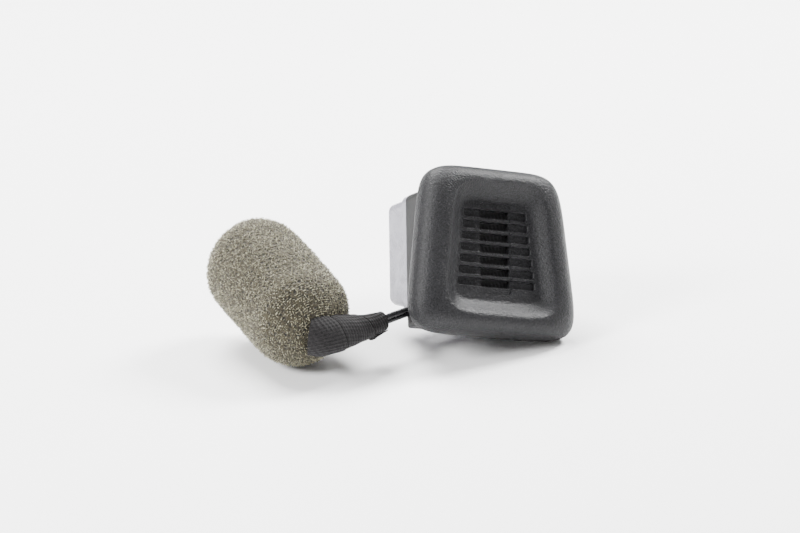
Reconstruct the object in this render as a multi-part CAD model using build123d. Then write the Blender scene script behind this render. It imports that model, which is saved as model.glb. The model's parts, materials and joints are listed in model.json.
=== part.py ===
from build123d import *
import os
from math import cos, hypot, radians, sin, tan

# A clip-in hands-free microphone: a pillow-shaped grille cap on a black carrier, a pale rear
# housing, an electret capsule and its preamplifier board inside, and a short pair of wires to a
# two-way plug that is wrapped in foam and bound with cloth tape. All sizes are in millimetres.
# The unit is drawn in its own frame, X to the right, Y up and Z out of the face, with its origin
# at the middle of the cap's back rim. It is then laid down as it rests on a table.

# grille cap
CAP_BOTTOM_WIDTH = 46.5
CAP_TOP_WIDTH = 37.0
CAP_HEIGHT = 40.0
CAP_DEPTH = 7.6
CAP_TAPER = 7.0
CAP_CORNER_R = 6.5
CAP_EDGE_R = 3.8
CAP_BACK_R = 1.0
CAP_WALL = 2.0
CAP_BULGE = 0.9
DISH_DEPTH = 3.0
DISH_RIM = 3.9
DISH_SIDE_RIM = 6.2
DISH_SLOPE = 4.8
DISH_SIDE_SLOPE = 3.2
DISH_CORNER_R = 4.5
DISH_RIM_R = 0.7

# slots in the dish
SLOT_COUNT = 7
SLOT_PITCH = 2.8
SLOT_HEIGHT = 2.0
SLOT_SIDE_MARGIN = 1.2
SLOT_DEPTH = 0.9
SLOT_R = 0.6
SLOT_RISE = 0.6
WINDOW_WIDTH = 8.0
RECESS_DEPTH = 0.35
RECESS_RUN = 1.7
RECESS_WIDTH = 8.4
RECESS_R = 1.2

# carrier behind the cap, and the rear housing behind it
CARRIER_WIDTH = 33.6
CARRIER_HEIGHT = 28.8
CARRIER_RISE = 0.9
CARRIER_DEPTH = 9.2
CARRIER_WALL = 1.8
CARRIER_CORNER_R = 2.0
SEAL_THICK = 1.8
SEAL_INSET = 1.9
HOUSING_WIDTH = 32.6
HOUSING_STEP = 0.5
HOUSING_STEP_DEPTH = 2.0
HOUSING_INSET = 0.5
HOUSING_DEPTH = 10.2
HOUSING_CHAMFER = 2.9
HOUSING_WALL = 1.5
HOUSING_CORNER_R = 2.2
HOUSING_EDGE_R = 1.0
LIP_DEPTH = 1.2
LIP_WALL = 0.9
FIT = 0.1

# snap clips on the carrier, top and bottom
CLIP_WIDTH = 7.0
CLIP_THICK = 1.0
CLIP_REACH = 5.0
CLIP_GAP = 0.4
CLIP_HOOK = 0.8
CLIP_HOOK_LENGTH = 1.6
CLIP_BARREL_R = 0.7
CLIP_HINGE_RISE = 1.2
CLIP_SIDE_GAP = 0.3
CLIP_POCKET_GAP = 0.6
CLIP_ROOT_COVER = 0.5
CLIP_HOOK_TIP = 0.4
CLIP_SWING = 10.0
HINGE_GAP = 0.05

# capsule and its boot
CAPSULE_R = 4.85
CAPSULE_DEPTH = 4.5
CAPSULE_WALL = 0.3
CAPSULE_LIP = 0.9
CAPSULE_HOLE_R = 0.5
CAPSULE_HOLE_CIRCLE_R = 2.2
BOOT_WALL = 1.3
BOOT_LIP = 0.8
BOOT_SKIRT = 0.4
MESH_THICK = 0.3
MESH_MARGIN = 2.0
MESH_R = 1.0
FRAME_THICK = 0.5
FRAME_MARGIN = 3.0
FRAME_OPENING = 1.0
FELT_THICK = 0.35

# the pieces stacked inside the capsule's can
RING_THICK = 0.3
RING_WALL = 0.7
FILM_THICK = 0.05
SPACER_THICK = 0.1
BACK_PLATE_THICK = 0.4
BACK_PLATE_HOLE_R = 0.4
BACK_PLATE_HOLE_CIRCLE_R = 2.0
HOLDER_WALL = 1.0
HOLDER_LIP = 0.5
GATE_RING_WALL = 0.4
FET_SIZE = (1.6, 1.3, 0.9)
CAPSULE_BOARD_THICK = 0.6

# board and its parts
BOARD_WIDTH = 27.0
BOARD_HEIGHT = 22.0
BOARD_THICK = 1.2
BOARD_FRONT = -8.0
BOSS_R = 1.8
SCREW_R = 0.8
SCREW_HEAD_R = 1.5
BOSS_INSET = 2.4
SCREW_CLEARANCE = 0.15
SCREW_BITE = 4.0
SCREW_HEAD_THICK = 0.9
CROSS_SIZE = (1.6, 0.4)
CROSS_DEPTH = 0.5
PIN_R = 0.3
PIN_PITCH = 2.54
PIN_STICK_OUT = 0.6

# small parts on the back of the board: width, height and thickness, then places
CAPACITOR_SIZE = (1.6, 0.8, 0.8)
CAPACITOR_PLACES = [(6, 6), (6, 3), (-7, 6), (-7, 3)]
RESISTOR_SIZE = (2.0, 1.25, 0.5)
RESISTOR_PLACES = [(0, 8), (3, 8), (-3, 8), (9, -1), (-8, -4)]
TRANSISTOR_SIZE = (3.0, 1.4, 1.05)
TRANSISTOR_PLACE = (-4.0, -2.5)
TRANSISTOR_LIFT = 0.15
TRANSISTOR_LEG = (0.45, 0.6, 0.6)
TRANSISTOR_LEG_OUT = 0.95
ELECTROLYTIC_R = 2.0
ELECTROLYTIC_LENGTH = 5.4
ELECTROLYTIC_PLACE = (3.0, -5.5)

# lead, plug, foam and tape
WIRE_R = 0.68
WIRE_SPACING = 2 * WIRE_R + 0.08
WIRE_GAP = 0.02
GROMMET_HEIGHT = 4.6
GROMMET_WIDTH = 2.8
GROMMET_FLANGE = 0.8
GROMMET_FLANGE_RIM = 0.6
GROMMET_R = 1.2
OUTLET_WIDTH = 9.4
OUTLET_DROP = 4.1
OUTLET_RISE = 2.5
OUTLET_DEPTH = 6.6
OUTLET_WALL = 1.0
OUTLET_R = 0.5
LEAD_EXIT = (-13.9, -5.8)
PLUG_WIDTH = 5.2
PLUG_THICK = 4.2
PLUG_LENGTH = 10.0
TERMINAL_WIDTH = 1.1
TERMINAL_THICK = 1.6
TERMINAL_LENGTH = 6.0
CRIMP_LENGTH = 3.0
LOCK_THICK = 1.2
LATCH_WIDTH = 2.2
LATCH_THICK = 0.8
LATCH_GAP = 0.5
LATCH_PIN_R = 0.4
LATCH_SWING = 6.0
POCKET_GAP = 0.3
FOAM_R = 12.8
FOAM_LENGTH = 41.0
FOAM_EDGE_R = 10.5
FOAM_SHIFT = 0.8
FOAM_SIDE = 4.8
LEAD_TURN = 32.6
LEAD_RISE = 15.7
TAPE_R_START = 2.15
TAPE_R_END = 4.6

# the lead's route from the header to the plug, from its exit, with X to the right, Y to the back
# and Z up as the unit lies, and the way from one wire to the other
LEAD_ROUTE = [
    (9.4, 7.4, 0.8),
    (4.4, 2.7, 0.5),
    (-2.7, -1.7, -0.3),
    (-9.7, -8.0, -0.7),
    (-16.5, -13.7, -0.2),
    (-23.5, -17.8, 0.1),
    (-29.4, -11.9, 0.9),
    (-32.8, -6.6, 2.6),
]
WIRE_SIDE = (0.12, -0.28, 0.95)

# how the unit lies: turned to its left, rolled on its lower right corner; the lean follows
UNIT_TURN = 33.4
UNIT_ROLL = -16.3

CAP_FLOOR = CAP_DEPTH - DISH_DEPTH
CAP_INSIDE = CAP_FLOOR - CAP_WALL
MESH_BACK = CAP_INSIDE - MESH_THICK
FLANGE_FRONT = MESH_BACK - FRAME_THICK
CARRIER_BACK = -CARRIER_DEPTH
HOUSING_BACK = CARRIER_BACK - HOUSING_DEPTH
CAPSULE_FRONT = -BOOT_LIP
CAPSULE_BACK = CAPSULE_FRONT - CAPSULE_DEPTH
BOARD_BACK = BOARD_FRONT - BOARD_THICK


def slab(width, height, low, high, radius=0.0, x=0.0, y=0.0):
    """A block from Z low to high, centred on x, y, with its upright edges rounded."""
    face = RectangleRounded(width, height, radius) if radius else Rectangle(width, height)
    return Pos(x, y, low) * extrude(face, high - low)


def disc(radius, low, high, x=0.0, y=0.0):
    """A round slab from Z low to high."""
    return Pos(x, y, low) * extrude(Circle(radius), high - low)


def ring(outer, inner, low, high, x=0.0, y=0.0):
    return disc(outer, low, high, x, y) - disc(inner, low - 1, high + 1, x, y)


def trapezoid(bottom, top, height, radius, bulge=0.0):
    """A symmetric four-sided face, wider below, with bulging sides and round corners."""
    half = height / 2
    corners = [(-bottom / 2, -half), (bottom / 2, -half), (top / 2, half), (-top / 2, half)]
    sides = []
    for start, end in zip(corners, corners[1:] + corners[:1]):
        along = Vector(*end) - Vector(*start)
        out = Vector(along.Y, -along.X).normalized() * bulge
        middle = (Vector(*start) + Vector(*end)) / 2 + out
        sides.append(ThreePointArc(start, middle, end) if bulge else Line(start, end))
    face = make_face(sides)
    return fillet(face.vertices(), radius)


def mean_width(y):
    """The width of the cap at height y."""
    share = 0.5 + y / CAP_HEIGHT
    return CAP_BOTTOM_WIDTH + (CAP_TOP_WIDTH - CAP_BOTTOM_WIDTH) * share


def cap_outline(inset=0.0):
    """The cap's outline, drawn in on all sides."""
    height = CAP_HEIGHT - 2 * inset
    slope = (CAP_BOTTOM_WIDTH - CAP_TOP_WIDTH) / 2 / CAP_HEIGHT
    side = inset * hypot(1, slope)
    bottom = mean_width(-height / 2) - 2 * side
    top = mean_width(height / 2) - 2 * side
    bulge = CAP_BULGE * (height / CAP_HEIGHT) ** 2
    return trapezoid(bottom, top, height, max(CAP_CORNER_R - inset, 1.0), bulge)


def dish():
    """The hollow in the cap's face: a sloping border round a flat floor."""
    height = CAP_HEIGHT - 2 * DISH_RIM
    inside = height - 2 * DISH_SLOPE
    wide = trapezoid(
        mean_width(-height / 2) - 2 * DISH_SIDE_RIM,
        mean_width(height / 2) - 2 * DISH_SIDE_RIM,
        height,
        DISH_CORNER_R,
    )
    narrow = trapezoid(
        mean_width(-inside / 2) - 2 * (DISH_SIDE_RIM + DISH_SIDE_SLOPE),
        mean_width(inside / 2) - 2 * (DISH_SIDE_RIM + DISH_SIDE_SLOPE),
        inside,
        DISH_CORNER_R / 2,
    )
    bowl = loft([Pos(0, 0, CAP_FLOOR) * narrow, Pos(0, 0, CAP_DEPTH) * wide])
    return bowl + Pos(0, 0, CAP_DEPTH) * extrude(wide, 2)


def slot_rows():
    """The height and length of each slot, from the top one down."""
    rows = []
    for i in range(SLOT_COUNT):
        y = SLOT_RISE + ((SLOT_COUNT - 1) / 2 - i) * SLOT_PITCH
        length = mean_width(y) - 2 * (DISH_SIDE_RIM + DISH_SIDE_SLOPE + SLOT_SIDE_MARGIN)
        rows.append((y, length))
    return rows


def grille_cap():
    crown = cap_outline(CAP_DEPTH * tan(radians(CAP_TAPER)))
    body = loft([cap_outline(), Pos(0, 0, CAP_DEPTH) * crown], ruled=True)
    body = fillet(body.faces().sort_by(Axis.Z)[-1].edges(), CAP_EDGE_R)
    body = fillet(body.faces().sort_by(Axis.Z)[0].edges(), CAP_BACK_R)
    body -= dish()
    rim = body.edges().filter_by(lambda e: abs(e.center().Z - CAP_DEPTH) < 0.01)
    body = fillet(rim, DISH_RIM_R)
    body -= extrude(cap_outline(CAP_WALL), CAP_INSIDE)
    recess_height = (SLOT_COUNT - 1) * SLOT_PITCH + SLOT_HEIGHT + 2 * RECESS_RUN
    recess_floor = CAP_FLOOR - RECESS_DEPTH
    body -= slab(RECESS_WIDTH, recess_height, recess_floor, CAP_DEPTH, RECESS_R, 0, SLOT_RISE)
    for y, length in slot_rows():
        body -= slab(length, SLOT_HEIGHT, CAP_FLOOR - SLOT_DEPTH, CAP_DEPTH, SLOT_R, 0, y)
        body -= slab(WINDOW_WIDTH, SLOT_HEIGHT, 0, CAP_DEPTH, 0, 0, y)
    return body


def mesh_size(margin):
    """The width and height of what covers the windows from behind, with a margin round them."""
    height = (SLOT_COUNT - 1) * SLOT_PITCH + SLOT_HEIGHT
    return WINDOW_WIDTH + 2 * margin, height + 2 * margin


def grille_mesh():
    return slab(*mesh_size(MESH_MARGIN), MESH_BACK, CAP_INSIDE, MESH_R, 0, SLOT_RISE)


def mesh_frame():
    outer = slab(*mesh_size(FRAME_MARGIN), FLANGE_FRONT, MESH_BACK, MESH_R, 0, SLOT_RISE)
    opening = mesh_size(FRAME_OPENING)
    return outer - slab(*opening, FLANGE_FRONT - 1, MESH_BACK + 1, MESH_R, 0, SLOT_RISE)


def carrier():
    """The black frame behind the cap, with a flange in front, a capsule bore and clip roots."""
    body = extrude(cap_outline(CAP_WALL + FIT), FLANGE_FRONT)
    body += slab(CARRIER_WIDTH, CARRIER_HEIGHT, CARRIER_BACK, 0, CARRIER_CORNER_R, 0, CARRIER_RISE)
    inner = CARRIER_CORNER_R / 2, 0, CARRIER_RISE
    wide, high = CARRIER_WIDTH - 2 * CARRIER_WALL, CARRIER_HEIGHT - 2 * CARRIER_WALL
    body += outlet(0)
    body -= slab(wide, high, CARRIER_BACK - 1, 0, *inner)
    body -= disc(CAPSULE_R - CAPSULE_LIP, -1, FLANGE_FRONT + 1)
    for side in (1, -1):
        body += clip_root(side)
        body -= clip_pocket(side)
    body -= outlet(OUTLET_WALL)
    return body - grommet_block(GROMMET_WIDTH, GROMMET_HEIGHT, -2, CARRIER_WALL + 2)


def outlet(wall):
    """The box at the lower left corner that the lead leaves through, drawn in by a wall."""
    left = -CARRIER_WIDTH / 2
    bottom = CARRIER_RISE - CARRIER_HEIGHT / 2 - OUTLET_DROP
    width, height = OUTLET_WIDTH - 2 * wall, OUTLET_DROP + OUTLET_RISE - wall
    x, y = left + OUTLET_WIDTH / 2, bottom + wall + height / 2
    z = LEAD_EXIT[1]
    half = OUTLET_DEPTH / 2 - wall
    return slab(width, height, z - half, z + half, OUTLET_R, x, y)


def grommet_block(width, height, start, end):
    """A rounded block through the left wall, between two depths inwards from its outside."""
    block = slab(width, height, start, end, GROMMET_R)
    return Pos(-CARRIER_WIDTH / 2, *LEAD_EXIT) * Rot(0, 90, 0) * block


def clip_wall(side):
    """The Y of the carrier's outer wall, above or below."""
    return CARRIER_RISE + side * CARRIER_HEIGHT / 2


def clip_axis(side):
    """The Y and Z of a clip's hinge line."""
    return clip_wall(side) + side * (CLIP_GAP + CLIP_THICK / 2), CARRIER_BACK + CLIP_HINGE_RISE


def barrel(side, radius, length):
    y, z = clip_axis(side)
    return Pos(0, y, z) * Rot(0, 90, 0) * Cylinder(radius, length)


def clip_root(side):
    y, z = clip_axis(side)
    depth = CLIP_GAP + CLIP_THICK + CLIP_ROOT_COVER
    middle = clip_wall(side) + side * depth / 2
    block = slab(CLIP_WIDTH, depth, CARRIER_BACK, z + CLIP_BARREL_R * 0.64, 0, 0, middle)
    swing = slab(CLIP_WIDTH + 1, CLIP_THICK + CLIP_SIDE_GAP, z, z + 1, 0, 0, y)
    return block - barrel(side, CLIP_BARREL_R + HINGE_GAP, CLIP_WIDTH + 1) - swing


def clip_pocket(side):
    """The hollow in the carrier's wall that a clip is pressed into."""
    z = clip_axis(side)[1]
    depth = CLIP_REACH * sin(radians(CLIP_SWING)) - CLIP_GAP + CLIP_SIDE_GAP
    middle = clip_wall(side) - side * depth / 2
    wide, end = CLIP_WIDTH + 2 * CLIP_SIDE_GAP, z + CLIP_REACH + CLIP_POCKET_GAP
    return slab(wide, depth, z - 1, end, 0, 0, middle)


def panel_clip(side):
    y, z = clip_axis(side)
    tip = z + CLIP_REACH
    body = barrel(side, CLIP_BARREL_R, CLIP_WIDTH)
    body += slab(CLIP_WIDTH, CLIP_THICK, z, tip, 0, 0, y)
    high = y + side * (CLIP_THICK / 2 + CLIP_HOOK)
    low = y
    back = tip - CLIP_HOOK_LENGTH
    inner = y + side * CLIP_THICK / 2
    points = [(low, tip), (high, tip), (high, tip - CLIP_HOOK_TIP), (inner, back), (low, back)]
    hook = make_face(Polyline(*points, close=True))
    return body + Pos(-CLIP_WIDTH / 2, 0, 0) * extrude(Plane.YZ * hook, CLIP_WIDTH)


def panel_seal():
    """The soft ring between the cap's back rim and the panel."""
    body = Pos(0, 0, -SEAL_THICK) * extrude(cap_outline(SEAL_INSET), SEAL_THICK)
    return body - slab(
        CARRIER_WIDTH, CARRIER_HEIGHT, -SEAL_THICK - 1, 1, CARRIER_CORNER_R, 0, CARRIER_RISE
    )


def tub(width, top, bottom, back_bottom, front, back, radius):
    """A lofted block whose underside slopes up towards the back."""
    faces = []
    for low, z in ((bottom, front), (back_bottom, back)):
        faces.append(Pos(0, (top + low) / 2, z) * RectangleRounded(width, top - low, radius))
    return loft(faces)


def rear_housing():
    """The pale closed shell, with a step in front, a lip inside the carrier and four bosses."""
    top = CARRIER_RISE + CARRIER_HEIGHT / 2 - HOUSING_INSET
    bottom = CARRIER_RISE - CARRIER_HEIGHT / 2 + HOUSING_INSET
    step = CARRIER_BACK - HOUSING_STEP_DEPTH
    body = tub(
        HOUSING_WIDTH, top, bottom, bottom + HOUSING_CHAMFER, CARRIER_BACK, HOUSING_BACK, HOUSING_CORNER_R
    )
    body = fillet(body.faces().sort_by(Axis.Z)[0].edges(), HOUSING_EDGE_R)
    wide = HOUSING_WIDTH + 2 * HOUSING_STEP
    middle, tall = (top + bottom) / 2, top - bottom + 2 * HOUSING_STEP
    body += slab(wide, tall, step, CARRIER_BACK, HOUSING_CORNER_R, 0, middle)
    w = HOUSING_WALL
    body -= tub(
        HOUSING_WIDTH - 2 * w,
        top - w,
        bottom + w,
        bottom + HOUSING_CHAMFER + w,
        CARRIER_BACK,
        HOUSING_BACK + w,
        HOUSING_CORNER_R / 2,
    )
    lip_wide = CARRIER_WIDTH - 2 * CARRIER_WALL - 2 * FIT
    lip_high = CARRIER_HEIGHT - 2 * CARRIER_WALL - 2 * FIT
    end = CARRIER_BACK + LIP_DEPTH
    body += slab(lip_wide, lip_high, CARRIER_BACK, end, LIP_WALL, 0, CARRIER_RISE)
    wide, high = lip_wide - 2 * LIP_WALL, lip_high - 2 * LIP_WALL
    body -= slab(wide, high, CARRIER_BACK - w, end + 1, LIP_WALL, 0, CARRIER_RISE)
    for x, y in boss_places():
        body += disc(BOSS_R, HOUSING_BACK + w / 2, BOARD_BACK, x, y)
        body -= disc(SCREW_R, HOUSING_BACK + w, BOARD_BACK + 1, x, y)
    return body


def boss_places():
    x = BOARD_WIDTH / 2 - BOSS_INSET
    y = BOARD_HEIGHT / 2 - BOSS_INSET
    return [(i * x, CARRIER_RISE + j * y) for i in (-1, 1) for j in (-1, 1)]


def capsule_boot():
    outer = CAPSULE_R + BOOT_WALL
    body = disc(outer, CAPSULE_BACK - BOOT_SKIRT, 0)
    body -= disc(CAPSULE_R - CAPSULE_LIP, CAPSULE_FRONT - 1, 1)
    return body - disc(CAPSULE_R, CAPSULE_BACK - 2, CAPSULE_FRONT)


def capsule_can():
    body = disc(CAPSULE_R, CAPSULE_BACK, CAPSULE_FRONT)
    body -= disc(CAPSULE_R - CAPSULE_WALL, CAPSULE_BACK - 1, CAPSULE_FRONT - CAPSULE_WALL)
    for x, y in sound_holes():
        body -= disc(CAPSULE_HOLE_R, CAPSULE_FRONT - 1, CAPSULE_FRONT + 1, x, y)
    return body


def sound_holes():
    """A hole in the middle and five round it."""
    places = [(0.0, 0.0)]
    for i in range(5):
        turn = radians(72 * i)
        places.append((CAPSULE_HOLE_CIRCLE_R * cos(turn), CAPSULE_HOLE_CIRCLE_R * sin(turn)))
    return places


def capsule_stack():
    """The pieces inside the can, from the front back, each against the one before."""
    inside = CAPSULE_R - CAPSULE_WALL
    z = CAPSULE_FRONT - CAPSULE_WALL
    pieces = {}
    layers = [
        ("diaphragm_ring", RING_THICK, lambda a, b: ring(inside, inside - RING_WALL, a, b)),
        ("diaphragm", FILM_THICK, lambda a, b: disc(inside, a, b)),
        ("spacer_ring", SPACER_THICK, lambda a, b: ring(inside, inside - RING_WALL, a, b)),
        ("back_plate", BACK_PLATE_THICK, lambda a, b: back_plate(inside - HOLDER_LIP, a, b)),
    ]
    for name, thick, make in layers:
        pieces[name] = make(z - thick, z)
        z -= thick
    top = z + BACK_PLATE_THICK
    low = CAPSULE_BACK + CAPSULE_BOARD_THICK
    gate = inside - HOLDER_WALL
    holder = ring(inside, gate, low, z) + ring(inside, inside - HOLDER_LIP, z, top)
    pieces["back_plate_holder"] = holder
    pieces["gate_ring"] = ring(gate, gate - GATE_RING_WALL, low, z)
    pieces["fet"] = slab(FET_SIZE[0], FET_SIZE[1], low, low + FET_SIZE[2])
    pieces["capsule_board"] = disc(inside, CAPSULE_BACK, low)
    return pieces


def back_plate(radius, low, high):
    body = disc(radius, low, high)
    for i in range(4):
        turn = radians(45 + 90 * i)
        x, y = BACK_PLATE_HOLE_CIRCLE_R * cos(turn), BACK_PLATE_HOLE_CIRCLE_R * sin(turn)
        body -= disc(BACK_PLATE_HOLE_R, low - 1, high + 1, x, y)
    return body


def capsule_pins():
    """Two pins from the capsule's board to the preamplifier board."""
    end = BOARD_BACK - PIN_STICK_OUT
    return [disc(PIN_R, end, CAPSULE_BACK, side * PIN_PITCH / 2, 0) for side in (-1, 1)]


def preamp_board():
    body = slab(BOARD_WIDTH, BOARD_HEIGHT, BOARD_BACK, BOARD_FRONT, 0.8, 0, CARRIER_RISE)
    for x, y in boss_places():
        body -= disc(SCREW_R + SCREW_CLEARANCE, BOARD_BACK - 1, BOARD_FRONT + 1, x, y)
    for side in (-1, 1):
        body -= disc(PIN_R, BOARD_BACK - 1, BOARD_FRONT + 1, side * PIN_PITCH / 2, 0)
    return body


def board_screws():
    screws = []
    for x, y in boss_places():
        shank = disc(SCREW_R - WIRE_GAP, BOARD_BACK - SCREW_BITE, BOARD_FRONT, x, y)
        top = BOARD_FRONT + SCREW_HEAD_THICK
        head = disc(SCREW_HEAD_R, BOARD_FRONT, top, x, y)
        long, short = CROSS_SIZE
        cross = slab(long, short, top - CROSS_DEPTH, top + 1, 0, x, y)
        cross += slab(short, long, top - CROSS_DEPTH, top + 1, 0, x, y)
        screws.append(shank + head - cross)
    return screws


def chips(size, places):
    """Small square-cornered parts soldered on the back of the board."""
    width, height, thick = size
    return [slab(width, height, BOARD_BACK - thick, BOARD_BACK, 0, x, y) for x, y in places]


def electrolytic_capacitor():
    lying = Rot(0, 90, 0) * Cylinder(ELECTROLYTIC_R, ELECTROLYTIC_LENGTH)
    return Pos(*ELECTROLYTIC_PLACE, BOARD_BACK - ELECTROLYTIC_R) * lying


def output_transistor():
    """The transistor that drives the lead, on three legs."""
    wide, high, thick = TRANSISTOR_SIZE
    x, y = TRANSISTOR_PLACE
    front = BOARD_BACK - TRANSISTOR_LIFT
    body = slab(wide, high, front - thick, front, 0, x, y)
    leg_wide, leg_high, leg_thick = TRANSISTOR_LEG
    for right, up in ((-1, 1), (1, 1), (0, -1)):
        leg_x, leg_y = x + right * wide / 3, y + up * TRANSISTOR_LEG_OUT
        body += slab(leg_wide, leg_high, BOARD_BACK - leg_thick, BOARD_BACK, 0, leg_x, leg_y)
    return body


def lowest(shape, place):
    return (place * shape).bounding_box().min.Z


def unit_rotation(pieces):
    """The unit's attitude: the lean at which its cap and its rear housing both touch the table."""
    low, high = 0.0, 60.0
    for _ in range(24):
        lean = (low + high) / 2
        turned = Rot(0, 0, UNIT_TURN) * Rot(90 - lean, 0, 0) * Rot(0, 0, UNIT_ROLL)
        gap = lowest(pieces["rear_housing"], turned) - lowest(pieces["grille_cap"], turned)
        low, high = (lean, high) if gap > 0 else (low, lean)
    return turned


def unit_pieces():
    """Every piece of the unit, in its own frame."""
    pieces = {
        "grille_cap": grille_cap(),
        "grille_mesh": grille_mesh(),
        "mesh_frame": mesh_frame(),
        "carrier": carrier(),
        "panel_seal": panel_seal(),
        "panel_clip_top": panel_clip(1),
        "panel_clip_bottom": panel_clip(-1),
        "rear_housing": rear_housing(),
        "capsule_boot": capsule_boot(),
        "capsule_can": capsule_can(),
        "capsule_felt": disc(CAPSULE_R - CAPSULE_LIP - FIT, CAPSULE_FRONT, CAPSULE_FRONT + FELT_THICK),
        "capsule_pins": capsule_pins(),
        "preamp_board": preamp_board(),
        "board_screws": board_screws(),
        "chip_capacitors": chips(CAPACITOR_SIZE, CAPACITOR_PLACES),
        "chip_resistors": chips(RESISTOR_SIZE, RESISTOR_PLACES),
        "output_transistor": output_transistor(),
        "electrolytic_capacitor": electrolytic_capacitor(),
    }
    pieces.update(capsule_stack())
    return pieces


def solids_of(shape):
    return shape if isinstance(shape, list) else [shape]


def grown_box(shapes):
    """The lowest and highest corners of many shapes together."""
    boxes = [shape.bounding_box() for shape in shapes]
    low = Vector(*(min(getattr(b.min, a) for b in boxes) for a in "XYZ"))
    high = Vector(*(max(getattr(b.max, a) for b in boxes) for a in "XYZ"))
    return low, high


def unit_place(pieces):
    """Where the unit lies: over the middle of its own footprint, with its lowest points at 0."""
    turned = unit_rotation(pieces)
    low, high = grown_box([turned * s for shape in pieces.values() for s in solids_of(shape)])
    return Pos(-(low.X + high.X) / 2, -(low.Y + high.Y) / 2, -low.Z) * turned


def lead_exit(place):
    """The middle of the grommet's outer face, as the unit lies."""
    return (place * Pos(-CARRIER_WIDTH / 2 - GROMMET_FLANGE, *LEAD_EXIT)).position


def wire_points(place, side):
    across = Vector(*WIRE_SIDE).normalized() * (side * WIRE_SPACING / 2)
    return [lead_exit(place) + Vector(*p) + across for p in LEAD_ROUTE]


def corner_radii(points):
    """Each bend is as large as its two runs allow."""
    radii = []
    for a, b, c in zip(points, points[1:], points[2:]):
        turn = radians((b - a).get_angle(c - b))
        radii.append(0.45 * min((b - a).length, (c - b).length) / tan(turn / 2))
    return radii


def wire(place, side, radius=WIRE_R):
    points = wire_points(place, side)
    path = FilletPolyline(*points, radius=corner_radii(points))
    return sweep((path ^ 0) * Circle(radius), path=path)


def wire_holes(place):
    return [wire(place, side, WIRE_R + WIRE_GAP) for side in (1, -1)]


def lead_grommet(place):
    """A rubber bush in the outlet's left wall, with a flange outside."""
    wide, high, rim = GROMMET_WIDTH, GROMMET_HEIGHT, GROMMET_FLANGE_RIM
    body = grommet_block(wide - 2 * WIRE_GAP, high - 2 * WIRE_GAP, 0, CARRIER_WALL)
    body += grommet_block(wide + 2 * rim, high + 2 * rim, -GROMMET_FLANGE, 0)
    return (place * body).cut(*wire_holes(place))


def lead_header(place):
    """The nylon block on the board that the two wires are pressed into."""
    x, y, z = (place.inverse() * Pos(*wire_middle(place, 0))).position
    block = slab(5.6, 4.6, BOARD_FRONT, z + 2.4, 0.3, x + 1.2, y + 0.6)
    return (place * block).cut(*wire_holes(place))


def wire_middle(place, i):
    return lead_exit(place) + Vector(*LEAD_ROUTE[i])


def strain_tie(place):
    """A tie round both wires, just inside the grommet."""
    point, back = wire_middle(place, 1), wire_middle(place, 2)
    plane = Plane(origin=point + (back - point) * 0.04, z_dir=back - point, x_dir=Vector(*WIRE_SIDE))
    outer = extrude(plane * SlotOverall(WIRE_SPACING + 2 * WIRE_R + 1.2, 2 * WIRE_R + 1.2), 1.2)
    return outer.cut(*wire_holes(place))


def plug_place(place):
    """The plug's frame: Z along it, from the wires to its open end."""
    turned = Rot(0, 0, LEAD_TURN) * Rot(LEAD_RISE - 90, 0, 0)
    return Pos(*wire_middle(place, -1)) * turned


def foam_place(place):
    """The foam lies on the table, beside the plug's line."""
    middle = plug_place(place) * Pos(FOAM_SIDE, 0, PLUG_LENGTH / 2 + FOAM_SHIFT)
    drop = (middle * foam_body()).bounding_box().min.Z
    return Pos(0, 0, -drop) * middle


def foam_body():
    body = Cylinder(FOAM_R, FOAM_LENGTH)
    return fillet(body.edges().filter_by(GeomType.CIRCLE), FOAM_EDGE_R)


def foam_wrap(place):
    """The foam round the plug, with a pocket for it and a way in for the wires."""
    holder = plug_place(place)
    reach = LATCH_GAP + LATCH_THICK + LATCH_SWING * 0.1
    width = PLUG_THICK + reach + 2 * POCKET_GAP
    pocket = slab(
        width, PLUG_WIDTH + 2 * POCKET_GAP, -POCKET_GAP, PLUG_LENGTH + 1.2, 0, reach / 2
    )
    return (foam_place(place) * foam_body()).cut(holder * pocket, *wire_holes(place))


def tape_wrap(place):
    """The cloth tape that binds the lead to the foam, closing in towards the unit."""
    a, b, c, d = (wire_middle(place, i) for i in (2, 3, 4, 5))
    start = a + (b - a) * 0.55
    places = [(start, b - a, TAPE_R_START), (c, d - b, TAPE_R_END * 0.95), (d, d - c, TAPE_R_END)]
    sections = [Plane(origin=o, z_dir=along) * Circle(r) for o, along, r in places]
    return loft(sections).cut(foam_place(place) * foam_body(), *wire_holes(place))


def terminal_places():
    return [side * WIRE_SPACING / 2 for side in (1, -1)]


def plug_housing():
    body = slab(PLUG_THICK, PLUG_WIDTH, 0, PLUG_LENGTH, 0.4)
    for y in terminal_places():
        body -= slab(TERMINAL_THICK, TERMINAL_WIDTH, CRIMP_LENGTH, PLUG_LENGTH + 1, 0, 0, y)
        body -= disc(TERMINAL_WIDTH / 2, -1, CRIMP_LENGTH + 1, 0, y)
    body -= lock_slot(0.0)
    x, z = latch_axis()
    for side in (1, -1):
        y = side * (LATCH_WIDTH / 2 + HINGE_GAP + 0.35)
        body += slab(x + 0.8 - PLUG_THICK / 2, 0.7, z - 0.8, z + 0.8, 0, (x + 0.8 + PLUG_THICK / 2) / 2, y)
    return body - latch_pin(LATCH_PIN_R + HINGE_GAP, LATCH_WIDTH + 3)


def lock_slot(gap):
    """The space for the terminal lock, from one side to the terminals."""
    depth = (PLUG_THICK - TERMINAL_THICK) / 2
    low = CRIMP_LENGTH + 1
    x = -(PLUG_THICK - depth) / 2
    return slab(depth - gap, PLUG_WIDTH - 1.2 - 2 * gap, low + gap, low + LOCK_THICK - gap, 0, x - gap / 2)


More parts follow.
